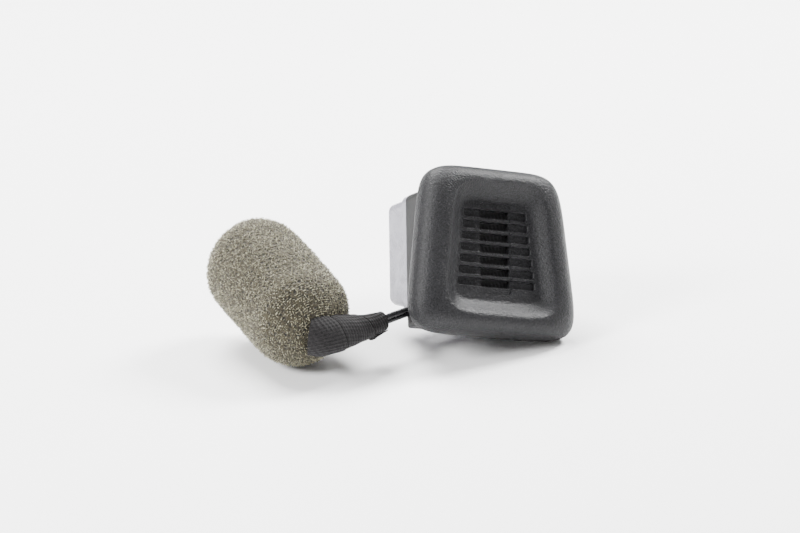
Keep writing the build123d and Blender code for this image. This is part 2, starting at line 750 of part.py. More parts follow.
def plug_terminals():
    terminals = []
    for y in terminal_places():
        low, high = CRIMP_LENGTH, CRIMP_LENGTH + TERMINAL_LENGTH
        body = slab(TERMINAL_THICK - 0.04, TERMINAL_WIDTH - 0.04, low, high, 0, 0, y)
        body -= slab(TERMINAL_THICK - 0.4, TERMINAL_WIDTH - 0.4, low + 0.6, high + 1, 0, 0, y)
        terminals.append(body + disc(TERMINAL_WIDTH / 2 - 0.03, 0, low, 0, y))
    return terminals


def latch_axis():
    """The X and Z of the latch's hinge line."""
    return PLUG_THICK / 2 + LATCH_GAP + LATCH_THICK / 2, PLUG_LENGTH / 2


def latch_pin(radius, length):
    x, z = latch_axis()
    return Pos(x, 0, z) * Rot(90, 0, 0) * Cylinder(radius, length)


def plug_latch():
    x, z = latch_axis()
    tip = PLUG_LENGTH + 0.8
    body = slab(LATCH_THICK, LATCH_WIDTH, 0.8, tip, 0, x)
    body += slab(LATCH_THICK + 0.9, LATCH_WIDTH, PLUG_LENGTH + 0.1, tip, 0, x - 0.45)
    return body + latch_pin(LATCH_PIN_R, LATCH_WIDTH + 1.2)


def all_nodes():
    """Every node of the part, where it lies."""
    unit = unit_pieces()
    place = unit_place(unit)
    nodes = {name: [place * s for s in solids_of(shape)] for name, shape in unit.items()}
    plug = plug_place(place)
    for name, shape in (
        ("plug_housing", plug_housing()),
        ("plug_terminals", plug_terminals()),
        ("terminal_lock", lock_slot(0.02)),
        ("plug_latch", plug_latch()),
    ):
        nodes[name] = [(plug * s).cut(*wire_holes(place)) for s in solids_of(shape)]
    nodes["lead_grommet"] = [lead_grommet(place)]
    nodes["lead_header"] = [lead_header(place)]
    nodes["strain_tie"] = [strain_tie(place)]
    nodes["wire_signal"] = [wire(place, 1)]
    nodes["wire_ground"] = [wire(place, -1)]
    nodes["foam_wrap"] = [foam_wrap(place)]
    nodes["tape_wrap"] = [tape_wrap(place)]
    return nodes, place


def build():
    os.makedirs("parts", exist_ok=True)
    nodes, place = all_nodes()
    for name, solids in nodes.items():
        shape = solids[0] if len(solids) == 1 else Compound(children=solids)
        export_step(shape, f"parts/{name}.step")
    radii = corner_radii(wire_points(place, 1))
    print("bend radii of the lead:", [round(r, 1) for r in radii])


if __name__ == "__main__":
    build()
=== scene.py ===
"""A clip-in hands-free microphone with its taped, foam-wrapped lead, built round its CAD frame."""

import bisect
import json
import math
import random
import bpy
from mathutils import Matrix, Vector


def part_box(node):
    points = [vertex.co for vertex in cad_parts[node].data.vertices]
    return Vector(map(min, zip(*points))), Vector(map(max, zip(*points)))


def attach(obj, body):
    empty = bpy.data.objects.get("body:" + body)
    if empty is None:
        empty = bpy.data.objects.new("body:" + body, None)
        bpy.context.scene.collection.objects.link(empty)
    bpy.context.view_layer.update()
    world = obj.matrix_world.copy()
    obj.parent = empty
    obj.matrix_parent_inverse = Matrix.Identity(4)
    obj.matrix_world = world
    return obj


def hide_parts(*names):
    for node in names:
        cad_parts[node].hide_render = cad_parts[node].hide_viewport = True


bl_info = {
    "name": "Clip-in Hands-free Microphone",
    "version": (1, 0, 0),
    "blender": (4, 5, 0),
    "location": "View3D > Sidebar > Microphone",
    "description": "Builds a clip-in microphone with a taped, foam-wrapped lead",
    "category": "Object",
}

import bpy
from mathutils import Vector, noise

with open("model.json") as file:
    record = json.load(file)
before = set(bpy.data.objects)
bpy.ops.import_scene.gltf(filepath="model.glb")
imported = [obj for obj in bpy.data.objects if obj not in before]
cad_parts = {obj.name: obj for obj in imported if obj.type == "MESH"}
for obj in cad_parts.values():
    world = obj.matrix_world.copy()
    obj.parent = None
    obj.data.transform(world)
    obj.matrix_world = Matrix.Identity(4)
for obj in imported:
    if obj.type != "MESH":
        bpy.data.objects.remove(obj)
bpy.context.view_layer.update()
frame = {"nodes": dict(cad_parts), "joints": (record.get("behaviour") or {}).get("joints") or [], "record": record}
MM = 0.001
UNIT_BODY = "unit"

# The unit's own frame, read from its record: RIGHT across the face, OUT of the face and UP between.
MOUNTS = {m["name"]: m for m in frame["record"]["mounts"]}
JOINTS = {j["name"]: j for j in frame["joints"]}
OUT = Vector(MOUNTS["panel_aperture"]["axis"]).normalized()
RIGHT = Vector(JOINTS["clip_top_flex"]["axis"]).normalized()
UP = OUT.cross(RIGHT)
SEAL_BACK = Vector(MOUNTS["panel_aperture"]["pos_m"])
# The panel mount lies behind the cap's back rim and a little above its middle, in millimetres.
RIM_AHEAD, RIM_BELOW = 1.8, 0.9
RIM_MIDDLE = SEAL_BACK + OUT * RIM_AHEAD * MM - UP * RIM_BELOW * MM
SLEEVE_ALONG = Vector(MOUNTS["plug_face"]["axis"]).normalized()

# The lead leaves the outlet at the unit's lower left. Its route is measured from there, in metres.
EXIT_LEFT, EXIT_BELOW, EXIT_BEHIND = 17.6, 13.9, 5.8
LEAD_EXIT = RIM_MIDDLE - RIGHT * EXIT_LEFT * MM - UP * EXIT_BELOW * MM - OUT * EXIT_BEHIND * MM
LEAD_ROUTE = [
    (0.0094, 0.0074, 0.0008),
    (0.0044, 0.0027, 0.0005),
    (-0.0027, -0.0017, -0.0003),
    (-0.0097, -0.0080, -0.0007),
    (-0.0165, -0.0137, -0.0002),
    (-0.0235, -0.0178, 0.0001),
    (-0.0294, -0.0119, 0.0009),
    (-0.0328, -0.0066, 0.0026),
]
WIRE_SIDE = Vector((0.12, -0.28, 0.95)).normalized()


def length_prop(name, description, default):
    return bpy.props.FloatProperty(
        name=name, description=description, default=default, min=0.0, unit="LENGTH", precision=5
    )


def share_prop(name, description, default):
    return bpy.props.FloatProperty(
        name=name, description=description, default=default, min=0.0, max=1.0, subtype="FACTOR"
    )


def hex_prop(name, description, default):
    return bpy.props.StringProperty(name=name, description=description, default=default)


class CapSettings(bpy.types.PropertyGroup):
    """The grille cap's shape and finish."""

    bottom_width: length_prop("Bottom width", "Width at the lower edge", 46.5 * MM)
    top_width: length_prop("Top width", "Width at the upper edge", 37.0 * MM)
    height: length_prop("Height", "Height of the cap", 41.0 * MM)
    depth: length_prop("Depth", "From the back rim to the crown", 7.5 * MM)
    wall: length_prop("Wall", "Thickness of the floor and sides", 2.0 * MM)
    side_height: length_prop("Side height", "Where the side starts to round over", 2.4 * MM)
    rim: length_prop("Rim", "From the top or bottom edge to the dish", 3.9 * MM)
    side_rim: length_prop("Side rim", "From a side edge to the dish", 6.0 * MM)
    dish: length_prop("Dish depth", "From the crown to the floor", 2.9 * MM)
    slope: length_prop("Slope", "Run of the slope above and below the floor", 4.8 * MM)
    side_slope: length_prop("Side slope", "Run of the slope beside the floor", 4.6 * MM)
    slot_pitch: length_prop("Slot pitch", "From one slot to the next", 2.8 * MM)
    slot_height: length_prop("Slot height", "Opening of each slot", 2.0 * MM)
    slot_depth: length_prop("Slot depth", "Depth of the blind parts", 0.75 * MM)
    slot_rise: length_prop("Slot rise", "Middle of the slots above the cap's middle", 0.6 * MM)
    window_width: length_prop("Window width", "Width of the open column", 8.0 * MM)
    grain: length_prop("Grain", "Pitch of the eroded grain", 0.34 * MM)
    colour: hex_prop("Colour", "sRGB hex of the grained plastic", "#0c0c0d")


class SleeveSettings(bpy.types.PropertyGroup):
    """The foam sleeve's shape and finish."""

    radius: length_prop("Radius", "Radius of the sleeve", 12.45 * MM)
    length: length_prop("Length", "Length of the sleeve", 40.4 * MM)
    edge: length_prop("Edge", "Rounding of the ends", 10.3 * MM)
    cell: length_prop("Cell", "Size of the foam's cells", 1.0 * MM)
    struts: bpy.props.IntProperty(
        name="Struts", description="Cell rims that stand proud", default=12000, min=0
    )
    colour: hex_prop("Colour", "sRGB hex of the foam's struts", "#363120")
    # The open cells' colour is painted shade: the dark depth of the foam seen through them.
    painted_cell_shade: hex_prop("Deep colour", "sRGB hex of the open cells", "#0d0b06")


class TapeSettings(bpy.types.PropertyGroup):
    """The cloth tape's shape and finish."""

    thread: length_prop("Thread", "Width of one woven thread", 0.42 * MM)
    thickness: length_prop("Thickness", "Thickness of one layer", 0.28 * MM)
    colour: hex_prop("Colour", "sRGB hex of the cloth", "#131112")


class LeadSettings(bpy.types.PropertyGroup):
    """The two wires."""

    diameter: length_prop("Diameter", "Outside diameter of each wire", 1.36 * MM)
    spacing: length_prop("Spacing", "From one wire to the other", 1.44 * MM)
    colour: hex_prop("Colour", "sRGB hex of the insulation", "#161618")


class StageSettings(bpy.types.PropertyGroup):
    """The camera and lights."""

    elevation: bpy.props.FloatProperty(
        name="Elevation",
        description="Camera height angle",
        default=math.radians(21),
        subtype="ANGLE",
    )
    lens: bpy.props.FloatProperty(name="Lens", description="Focal length in mm", default=150.0)
    distance: length_prop("Distance", "From the camera to the object", 0.8)
    key: bpy.props.FloatProperty(name="Key", description="Key light in watts", default=19.0)


# Materials

# A wave texture's bands repeat every 0.314 / scale. Divided by this, one wave spans two threads.
WAVE_DIVISOR = 6.2832
# A colour Mix node's sockets go by number, because its names repeat.
FACTOR, LOW, HIGH, COLOUR = 0, 6, 7, 2


def linear(colour):
    """A linear colour from an sRGB hex value."""
    parts = [int(colour[i : i + 2], 16) / 255 for i in (1, 3, 5)]
    return [p / 12.92 if p <= 0.04045 else ((p + 0.055) / 1.055) ** 2.4 for p in parts] + [1.0]


def tinted(colour, factor):
    """A linear colour made paler or darker."""
    return [min(1.0, c * factor) for c in colour[:3]] + [1.0]


def feed(node, inputs):
    """Sets a node's inputs to values, or links them to the sockets that feed them."""
    for name, value in inputs.items():
        if isinstance(value, bpy.types.NodeSocket):
            node.id_data.links.new(value, node.inputs[name])
        else:
            node.inputs[name].default_value = value


def add(tree, kind, inputs=None, **settings):
    """A shader node with its settings and links."""
    made = tree.nodes.new("ShaderNode" + kind)
    for name, value in settings.items():
        setattr(made, name, value)
    feed(made, inputs or {})
    return made


def new_material(name):
    """A new material, its node tree, its shader and a coordinate in metres on the piece."""
    made = bpy.data.materials.new(name)
    made.use_nodes = True
    tree = made.node_tree
    return made, tree, tree.nodes["Principled BSDF"], add(tree, "TexCoord").outputs["Object"]


def grained_abs(colour, grain):
    """ABS moulded against a spark-eroded tool: a fine random grain that scatters light softly."""
    made, tree, shader, place = new_material("ABS_spark_eroded")
    fine = add(tree, "TexNoise", {"Vector": place, "Scale": 1 / grain, "Detail": 2.0})
    pits = add(tree, "TexVoronoi", {"Vector": place, "Scale": 0.8 / grain}, feature="SMOOTH_F1")
    smudge = add(tree, "TexNoise", {"Vector": place, "Scale": 1 / (11.111 * MM), "Detail": 3.0})
    light = add(tree, "TexNoise", {"Vector": place, "Scale": 1.6 / grain, "Detail": 1.0})
    fleck = add(tree, "MapRange", {"Value": light.outputs["Fac"], "From Min": 0.3, "From Max": 0.7})
    base = linear(colour)
    shades = {FACTOR: fleck.outputs["Result"], LOW: tinted(base, 0.5), HIGH: tinted(base, 6.0)}
    tone = add(tree, "Mix", shades, data_type="RGBA")
    limits = {"From Min": 0.3, "From Max": 0.7, "To Min": 0.4, "To Max": 0.48}
    rough = add(tree, "MapRange", {"Value": smudge.outputs["Fac"], **limits})
    height = {"Height": pits.outputs["Distance"], "Distance": 0.11 * MM, "Strength": 0.9}
    low = add(tree, "Bump", height).outputs["Normal"]
    height = {"Height": fine.outputs["Fac"], "Distance": 0.14 * MM, "Strength": 1.0, "Normal": low}
    relief = add(tree, "Bump", height)
    feed(shader, {"Base Color": tone.outputs[COLOUR], "Roughness": rough.outputs["Result"]})
    feed(shader, {"IOR": 1.54, "Specular IOR Level": 0.18, "Normal": relief.outputs["Normal"]})
    return made


def satin_abs():
    """Black ABS moulded in a lightly blasted tool, as inner frames are: an even, dull sheen."""
    made, tree, shader, place = new_material("ABS_black_satin")
    fine = add(tree, "TexNoise", {"Vector": place, "Scale": 1 / (0.3125 * MM), "Detail": 2.0})
    wear = add(tree, "TexNoise", {"Vector": place, "Scale": 1 / (6.25 * MM), "Detail": 4.0})
    shades = {FACTOR: wear.outputs["Fac"], LOW: linear("#0a0a0b"), HIGH: linear("#131314")}
    tone = add(tree, "Mix", shades, data_type="RGBA")
    rough = add(tree, "MapRange", {"Value": wear.outputs["Fac"], "To Min": 0.38, "To Max": 0.55})
    height = {"Height": fine.outputs["Fac"], "Distance": 0.03 * MM, "Strength": 0.6}
    relief = add(tree, "Bump", height)
    feed(shader, {"Base Color": tone.outputs[COLOUR], "Roughness": rough.outputs["Result"]})
    feed(shader, {"Specular IOR Level": 0.25, "Normal": relief.outputs["Normal"]})
    return made


def polished_abs():
    """Pale grey ABS from a polished tool: glossy, with finger smudges and hairline scratches."""
    made, tree, shader, place = new_material("ABS_pale_polished")
    prints = {"Vector": place, "Scale": 1 / (4.762 * MM), "Detail": 5.0, "Distortion": 0.8}
    smudge = add(tree, "TexNoise", prints)
    # Hairlines 0.4 mm apart one way, drawn out to 3.3 mm and 1.1 mm the other ways.
    long = add(tree, "Mapping", {"Vector": place, "Scale": (300.0, 2600.0, 900.0)})
    hair = add(tree, "TexNoise", {"Vector": long.outputs["Vector"], "Scale": 1.0, "Detail": 2.0})
    limits = {"From Min": 0.42, "From Max": 0.66}
    marks = add(tree, "MapRange", {"Value": smudge.outputs["Fac"], **limits}).outputs["Result"]
    shades = {FACTOR: marks, LOW: linear("#7f7e87"), HIGH: linear("#74737c")}
    tone = add(tree, "Mix", shades, data_type="RGBA")
    rough = add(tree, "MapRange", {"Value": marks, "To Min": 0.16, "To Max": 0.36})
    height = {"Height": hair.outputs["Fac"], "Distance": 0.012 * MM, "Strength": 0.35}
    relief = add(tree, "Bump", height)
    feed(shader, {"Base Color": tone.outputs[COLOUR], "Roughness": rough.outputs["Result"]})
    feed(shader, {"IOR": 1.54, "Normal": relief.outputs["Normal"]})
    return made


def moulded_rubber():
    """Soft black rubber, matt and slightly dusty."""
    made, tree, shader, place = new_material("rubber_moulded")
    dust = add(tree, "TexNoise", {"Vector": place, "Scale": 1 / (1.4286 * MM), "Detail": 5.0})
    share = add(tree, "MapRange", {"Value": dust.outputs["Fac"], "From Min": 0.4, "From Max": 0.75})
    shades = {FACTOR: share.outputs["Result"], LOW: linear("#141414"), HIGH: linear("#2c2b2a")}
    tone = add(tree, "Mix", shades, data_type="RGBA")
    height = {"Height": dust.outputs["Fac"], "Distance": 0.05 * MM, "Strength": 0.6}
    relief = add(tree, "Bump", height)
    feed(shader, {"Base Color": tone.outputs[COLOUR], "Roughness": 0.78})
    feed(shader, {"Normal": relief.outputs["Normal"]})
    return made


def sponge_rubber():
    """Die-cut sponge rubber with open pores on its cut edge, 0.4 mm across, painted darker in the pores as painted
    shade.
    """
    made, tree, shader, place = new_material("rubber_sponge")
    pores = add(tree, "TexVoronoi", {"Vector": place, "Scale": 1 / (0.4 * MM)})
    limits = {"From Min": 0.1, "From Max": 0.6}
    depth = add(tree, "MapRange", {"Value": pores.outputs["Distance"], **limits}).outputs["Result"]
    # The pores' middles are painted darker than the rubber round them: painted shade in the pores.
    shades = {FACTOR: depth, LOW: linear("#0d0d0e"), HIGH: linear("#2b2a2c")}
    tone = add(tree, "Mix", shades, data_type="RGBA")
    relief = add(tree, "Bump", {"Height": depth, "Distance": 0.2 * MM, "Strength": 1.0})
    feed(shader, {"Base Color": tone.outputs[COLOUR], "Roughness": 0.9})
    feed(shader, {"Normal": relief.outputs["Normal"]})
    return made


def acoustic_cloth():
    """Fine black polyester mesh, painted darker in the gaps between threads as painted shade. Two 0.35 mm threads
    share one wave, coarse enough to show.
    """
    made, tree, shader, place = new_material("polyester_mesh")
    turn = add(tree, "Mapping", {"Vector": place, "Rotation": (0.6, 0.4, 0.3)})
    waves = []
    for way in ("X", "Y"):
        pitch = {"Vector": turn.outputs["Vector"], "Scale": 1 / (0.35 * MM) / WAVE_DIVISOR}
        waves.append(add(tree, "TexWave", pitch, bands_direction=way).outputs["Fac"])
    both = add(tree, "Math", {0: waves[0], 1: waves[1]}, operation="MULTIPLY").outputs[0]
    # Where both waves run low, in the gaps between threads, the mesh is painted darker: painted shade.
    shades = {FACTOR: both, LOW: linear("#060607"), HIGH: linear("#1d1d20")}
    tone = add(tree, "Mix", shades, data_type="RGBA")
    relief = add(tree, "Bump", {"Height": both, "Distance": 0.08 * MM, "Strength": 0.8})
    feed(shader, {"Base Color": tone.outputs[COLOUR], "Roughness": 0.85})
    feed(shader, {"Normal": relief.outputs["Normal"]})
    return made


def metal(name, colour, roughness, streak):
    """A bare metal whose fine drawn or rolled streaks have the given pitch."""
    made, tree, shader, place = new_material(name)
    long = add(tree, "Mapping", {"Vector": place, "Scale": (0.15, 1.0, 1.0)})
    pitch = {"Vector": long.outputs["Vector"], "Scale": 1 / streak, "Detail": 3.0}
    lines = add(tree, "TexNoise", pitch).outputs["Fac"]
    base = linear(colour)
    shades = {FACTOR: lines, LOW: tinted(base, 0.8), HIGH: base}
    tone = add(tree, "Mix", shades, data_type="RGBA")
    limits = {"To Min": roughness * 0.8, "To Max": roughness * 1.3}
    rough = add(tree, "MapRange", {"Value": lines, **limits})
    relief = add(tree, "Bump", {"Height": lines, "Distance": 0.01 * MM, "Strength": 0.5})
    feed(shader, {"Base Color": tone.outputs[COLOUR], "Roughness": rough.outputs["Result"]})
    feed(shader, {"Metallic": 1.0, "Normal": relief.outputs["Normal"]})
    return made


def glass_epoxy():
    """Glass epoxy board under green solder mask: a faint 0.5 mm weave shows through."""
    made, tree, shader, place = new_material("glass_epoxy_masked")
    weave = add(tree, "TexChecker", {"Vector": place, "Scale": 1 / (0.5 * MM)})
    blocks = {"Vector": place, "Scale": 1 / (3.846 * MM)}
    tracks = add(tree, "TexVoronoi", blocks, feature="DISTANCE_TO_EDGE")
    limits = {"From Min": 0.04, "From Max": 0.09, "To Min": 1, "To Max": 0}
    lines = add(tree, "MapRange", {"Value": tracks.outputs["Distance"], **limits}).outputs["Result"]
    shades = {FACTOR: weave.outputs["Fac"], LOW: linear("#12442a"), HIGH: linear("#164d30")}
    mask = add(tree, "Mix", shades, data_type="RGBA").outputs[COLOUR]
    shades = {FACTOR: lines, LOW: mask, HIGH: linear("#2c7a45")}
    tone = add(tree, "Mix", shades, data_type="RGBA")
    relief = add(tree, "Bump", {"Height": lines, "Distance": 0.04 * MM, "Strength": 0.8})
    feed(shader, {"Base Color": tone.outputs[COLOUR], "Roughness": 0.32})
    feed(shader, {"Normal": relief.outputs["Normal"]})
    return made


def moulded_solid(name, dark, pale, roughness, cell, depth):
    """A small moulded or fired piece with a mottled skin."""
    made, tree, shader, place = new_material(name)
    spots = {"Vector": place, "Scale": 1 / cell, "Detail": 4.0}
    mottle = add(tree, "TexNoise", spots).outputs["Fac"]
    shades = {FACTOR: mottle, LOW: linear(dark), HIGH: linear(pale)}
    tone = add(tree, "Mix", shades, data_type="RGBA")
    relief = add(tree, "Bump", {"Height": mottle, "Distance": depth, "Strength": 0.6})
    feed(shader, {"Base Color": tone.outputs[COLOUR], "Roughness": roughness})
    feed(shader, {"Normal": relief.outputs["Normal"]})
    return made


def extruded_pvc(colour):
    """Flexible PVC drawn over the conductor: glossy, with a faint ripple along it."""
    made, tree, shader, place = new_material("PVC_extruded")
    waver = {"Vector": place, "Scale": 1 / (2.381 * MM), "Detail": 2.0}
    ripple = add(tree, "TexNoise", waver).outputs["Fac"]
    base = linear(colour)
    shades = {FACTOR: ripple, LOW: base, HIGH: tinted(base, 1.6)}
    tone = add(tree, "Mix", shades, data_type="RGBA")
    rough = add(tree, "MapRange", {"Value": ripple, "To Min": 0.2, "To Max": 0.32})
    relief = add(tree, "Bump", {"Height": ripple, "Distance": 0.06 * MM, "Strength": 0.4})
    feed(shader, {"Base Color": tone.outputs[COLOUR], "Roughness": rough.outputs["Result"]})
    feed(shader, {"IOR": 1.53, "Normal": relief.outputs["Normal"]})
    return made


def open_cell_foam(colour, painted_cell_shade, cell):
    """Reticulated polyurethane foam: pale struts round open cells. The cells are painted dark as painted shade,
    small spots are painted glints, and the proud arches' pale colour is their own khaki with painted highlight.
    """
    made, tree, shader, place = new_material("polyurethane_foam_open_cell")
    warp = add(tree, "TexNoise", {"Vector": place, "Scale": 1.2 / cell, "Detail": 1.0})
    bend = {"Fac": 0.0006, "Color1": place, "Color2": warp.outputs["Color"]}
    bent = add(tree, "MixRGB", bend).outputs["Color"]
    cells = {"Vector": bent, "Scale": 1 / cell}
    walls = add(tree, "TexVoronoi", cells, feature="DISTANCE_TO_EDGE")
    fine = add(tree, "TexVoronoi", {"Vector": place, "Scale": 2.1 / cell})
    patch = add(tree, "TexNoise", {"Vector": place, "Scale": 1 / (7.692 * MM), "Detail": 3.0})
    limits = {"From Min": 0.03, "From Max": 0.30, "To Min": 1, "To Max": 0}
    strut = add(tree, "MapRange", {"Value": walls.outputs["Distance"], **limits}).outputs["Result"]
    # Small spots are lit up in the struts' colour as painted glints.
    limits = {"From Min": 0.05, "From Max": 0.42, "To Min": 1, "To Max": 0}
    glint = add(tree, "MapRange", {"Value": fine.outputs["Distance"], **limits}).outputs["Result"]
    share = add(tree, "Math", {0: strut, 1: glint}, operation="MAXIMUM").outputs[0]
    # The open cells take the painted-shade colour; the struts and the glint spots take the struts' colour.
    shades = {FACTOR: share, LOW: linear(painted_cell_shade), HIGH: linear(colour)}
    tone = add(tree, "Mix", shades, data_type="RGBA").outputs[COLOUR]
    limits = {"From Min": 0.4, "From Max": 0.7, "To Max": 0.3}
    wear = add(tree, "MapRange", {"Value": patch.outputs["Fac"], **limits}).outputs["Result"]
    shades = {FACTOR: wear, LOW: tone, HIGH: linear("#262112")}
    worn = add(tree, "Mix", shades, data_type="RGBA").outputs[COLOUR]
    strands = add(tree, "Attribute", attribute_name="strut").outputs["Fac"]
    # The proud arches are painted pale, a random share per arch: their own khaki with painted highlight.
    shades = {FACTOR: strands, LOW: worn, HIGH: linear("#d2ccac")}
    skin = add(tree, "Mix", shades, data_type="RGBA")
    rough = add(tree, "MapRange", {"Value": strands, "To Min": 0.9, "To Max": 0.22})
    relief = add(tree, "Bump", {"Height": share, "Distance": 0.35 * MM, "Strength": 1.0})
    feed(shader, {"Base Color": skin.outputs[COLOUR], "Roughness": rough.outputs["Result"]})
    feed(shader, {"Subsurface Weight": 0.1, "Subsurface Radius": (1.0, 0.9, 0.6)})
    feed(shader, {"Subsurface Scale": 1.2 * MM, "Sheen Weight": 0.2, "Sheen Roughness": 0.4})
    feed(shader, {"Sheen Tint": linear("#f2ead0"), "Normal": relief.outputs["Normal"]})
    return made


def woven_tape(colour, thread):
    """Woven cotton tape: matt crossing threads, laid out on UVs that follow the wrap. The cloth is painted darker
    between and along the threads as painted shade.
    """
    made, tree, shader, place = new_material("cotton_tape_woven")
    flat = add(tree, "UVMap", uv_map="cloth").outputs["UV"]
    rate = 1 / thread / WAVE_DIVISOR
    waves = []
    for way in ("X", "Y"):
        pitch = {"Vector": flat, "Scale": rate, "Distortion": 0.6, "Detail": 1.0}
        waves.append(add(tree, "TexWave", pitch, bands_direction=way).outputs["Fac"])
    cross = add(tree, "TexChecker", {"Vector": flat, "Scale": 1 / thread}).outputs["Fac"]
    shades = {FACTOR: cross, LOW: waves[0], HIGH: waves[1]}
    threads = add(tree, "Mix", shades, data_type="RGBA").outputs[COLOUR]
    nap = {"Vector": place, "Scale": 1 / (0.2857 * MM), "Detail": 4.0}
    fuzz = add(tree, "TexNoise", nap).outputs["Fac"]
    share = add(tree, "MapRange", {"Value": fuzz, "From Min": 0.3, "From Max": 0.7})
    base = linear(colour)
    shades = {FACTOR: share.outputs["Result"], LOW: base, HIGH: tinted(base, 1.8)}
    tone = add(tree, "Mix", shades, data_type="RGBA").outputs[COLOUR]
    # Where the threads' waves run low, between threads and along their edges, the cloth is painted darker: painted
    # shade in the weave.
    shades = {FACTOR: threads, LOW: tinted(base, 0.35), HIGH: tone}
    cloth = add(tree, "Mix", shades, data_type="RGBA")
    height = {"Height": threads, "Distance": 0.16 * MM, "Strength": 1.0}
    low = add(tree, "Bump", height).outputs["Normal"]
    height = {"Height": fuzz, "Distance": 0.05 * MM, "Strength": 0.5, "Normal": low}
    relief = add(tree, "Bump", height)
    feed(shader, {"Base Color": cloth.outputs[COLOUR], "Roughness": 0.85, "Sheen Weight": 0.05})
    feed(shader, {"Specular IOR Level": 0.25, "Normal": relief.outputs["Normal"]})
    return made


# Mesh helpers


def piece(name, vertices, faces, material, smooth=math.radians(35)):
    """A mesh object in the row's frame, smooth but for edges sharper than the given angle."""
    mesh = bpy.data.meshes.new(name)
    mesh.from_pydata([tuple(v) for v in vertices], [], faces)
    mesh.validate()
    mesh.shade_smooth()
    mesh.set_sharp_from_angle(angle=smooth)
    mesh.materials.append(material)
    made = bpy.data.objects.new(name, mesh)
    bpy.context.scene.collection.objects.link(made)
    return made


def in_unit(x, y, z):
    """A point of the unit's own frame, in the row's frame."""
    return RIM_MIDDLE + RIGHT * x + UP * y + OUT * z


def ring_faces(rings, count, start=0):
    """Quads between one closed ring of vertices and the next."""
    faces = []
    for k in range(rings - 1):
        for i in range(count):
            j = (i + 1) % count
            a, b = start + k * count, start + (k + 1) * count
            faces.append((a + i, a + j, b + j, b + i))
    return faces


def rounded_point(turn, power):
    """A point on a rounded square from -1 to 1."""
    c, s = math.cos(turn), math.sin(turn)
    x = math.copysign(abs(c) ** (2 / power), c)
    y = math.copysign(abs(s) ** (2 / power), s)
    return x, y


def cut(target, cutter):
    """Takes the cutter's shape out of the target and deletes the cutter."""
    modifier = target.modifiers.new("cut", "BOOLEAN")
    modifier.object = cutter
    modifier.operation = "DIFFERENCE"
    modifier.solver = "EXACT"
    apply_modifiers(target)
    bpy.data.objects.remove(cutter)


def apply_modifiers(target):
    graph = bpy.context.evaluated_depsgraph_get()
    mesh = bpy.data.meshes.new_from_object(target.evaluated_get(graph))
    target.modifiers.clear()
    target.data = mesh


# Grille cap

RING_COUNT = 288
ROUND_STEPS = 22
# How square each outline is: 2 is an ellipse, and more has tighter corners.
RIM_SQUARE, CROWN_SQUARE, FLOOR_SQUARE = 6.5, 4.8, 8.0
# The rounding of the back edge: each ring's inset and height in millimetres.
BACK_EDGE = ((0.9, 0.0), (0.35, 0.1), (0.12, 0.45), (0.03, 1.0))
# The dish starts crisply under the top edge and softly elsewhere. More spread narrows that part.
CRISP, CRISP_SPREAD = 1.7, 4
CAP_EDGE_ANGLE = math.radians(28)

SLOT_COUNT = 7
CORNER_STEPS = 6
BLOCK_COUNT = 4 * (CORNER_STEPS + 1)
# Cutters reach clear of the wall, and the slots' lips are chamfered.
CUT_CLEAR, LIP_CHAMFER, LIP_ABOVE = 3.0 * MM, 0.16 * MM, 0.05 * MM
SLOT_END, SLOT_CORNER = 0.5 * MM, 0.55 * MM
# The shallow column round the windows: depth, how it flares, extra width and height, corner.
COLUMN_DEPTH, COLUMN_FLARE, COLUMN_TOP = 0.35 * MM, 0.1 * MM, 0.15 * MM
COLUMN_WIDER, COLUMN_TALLER, COLUMN_CORNER = 0.5 * MM, 3.4 * MM, 1.3 * MM
WINDOW_ABOVE, WINDOW_PLAY, WINDOW_CORNER = 0.3 * MM, 0.06 * MM, 0.05 * MM


def cap_rings(cap):
    """The cap's skin as rings: inset from the side edges, inset from the top and bottom edges,
    height, squareness and how far down the dish's slope each one is."""
    rings = [(cap.wall, cap.wall, 0.0, RIM_SQUARE, 0.0)]
    for inset, height in BACK_EDGE:
        rings.append((inset * MM, inset * MM, height * MM, RIM_SQUARE, 0.0))
    for k in range(ROUND_STEPS + 1):
        turn = math.pi / 2 * k / ROUND_STEPS
        run = 1 - math.cos(turn)
        height = cap.side_height + (cap.depth - cap.side_height) * math.sin(turn)
        square = RIM_SQUARE + (CROWN_SQUARE - RIM_SQUARE) * run
        rings.append((cap.side_rim * run, cap.rim * run, height, square, 0.0))
    for k in range(1, ROUND_STEPS + 1):
        down = k / ROUND_STEPS
        side = cap.side_rim + cap.side_slope * down
        end = cap.rim + cap.slope * down
        square = CROWN_SQUARE + (FLOOR_SQUARE - CROWN_SQUARE) * down
        rings.append((side, end, cap.depth, square, down))
    return rings


def cap_point(cap, turn, ring):
    """A point of the cap's skin: an outline that narrows upward, let down into the dish."""
    side, end, height, power, down = ring
    x, y = rounded_point(turn, power)
    y_out = y * (cap.height / 2 - end)
    share = 0.5 + y_out / cap.height
    half = (cap.bottom_width + (cap.top_width - cap.bottom_width) * share) / 2
    soft = down * down * (3 - 2 * down)
    crisp = 1 - (1 - down) ** CRISP
    upright = max(y, 0.0) ** CRISP_SPREAD
    height -= cap.dish * (soft * (1 - upright) + crisp * upright)
    return in_unit(x * (half - side), y_out, height)


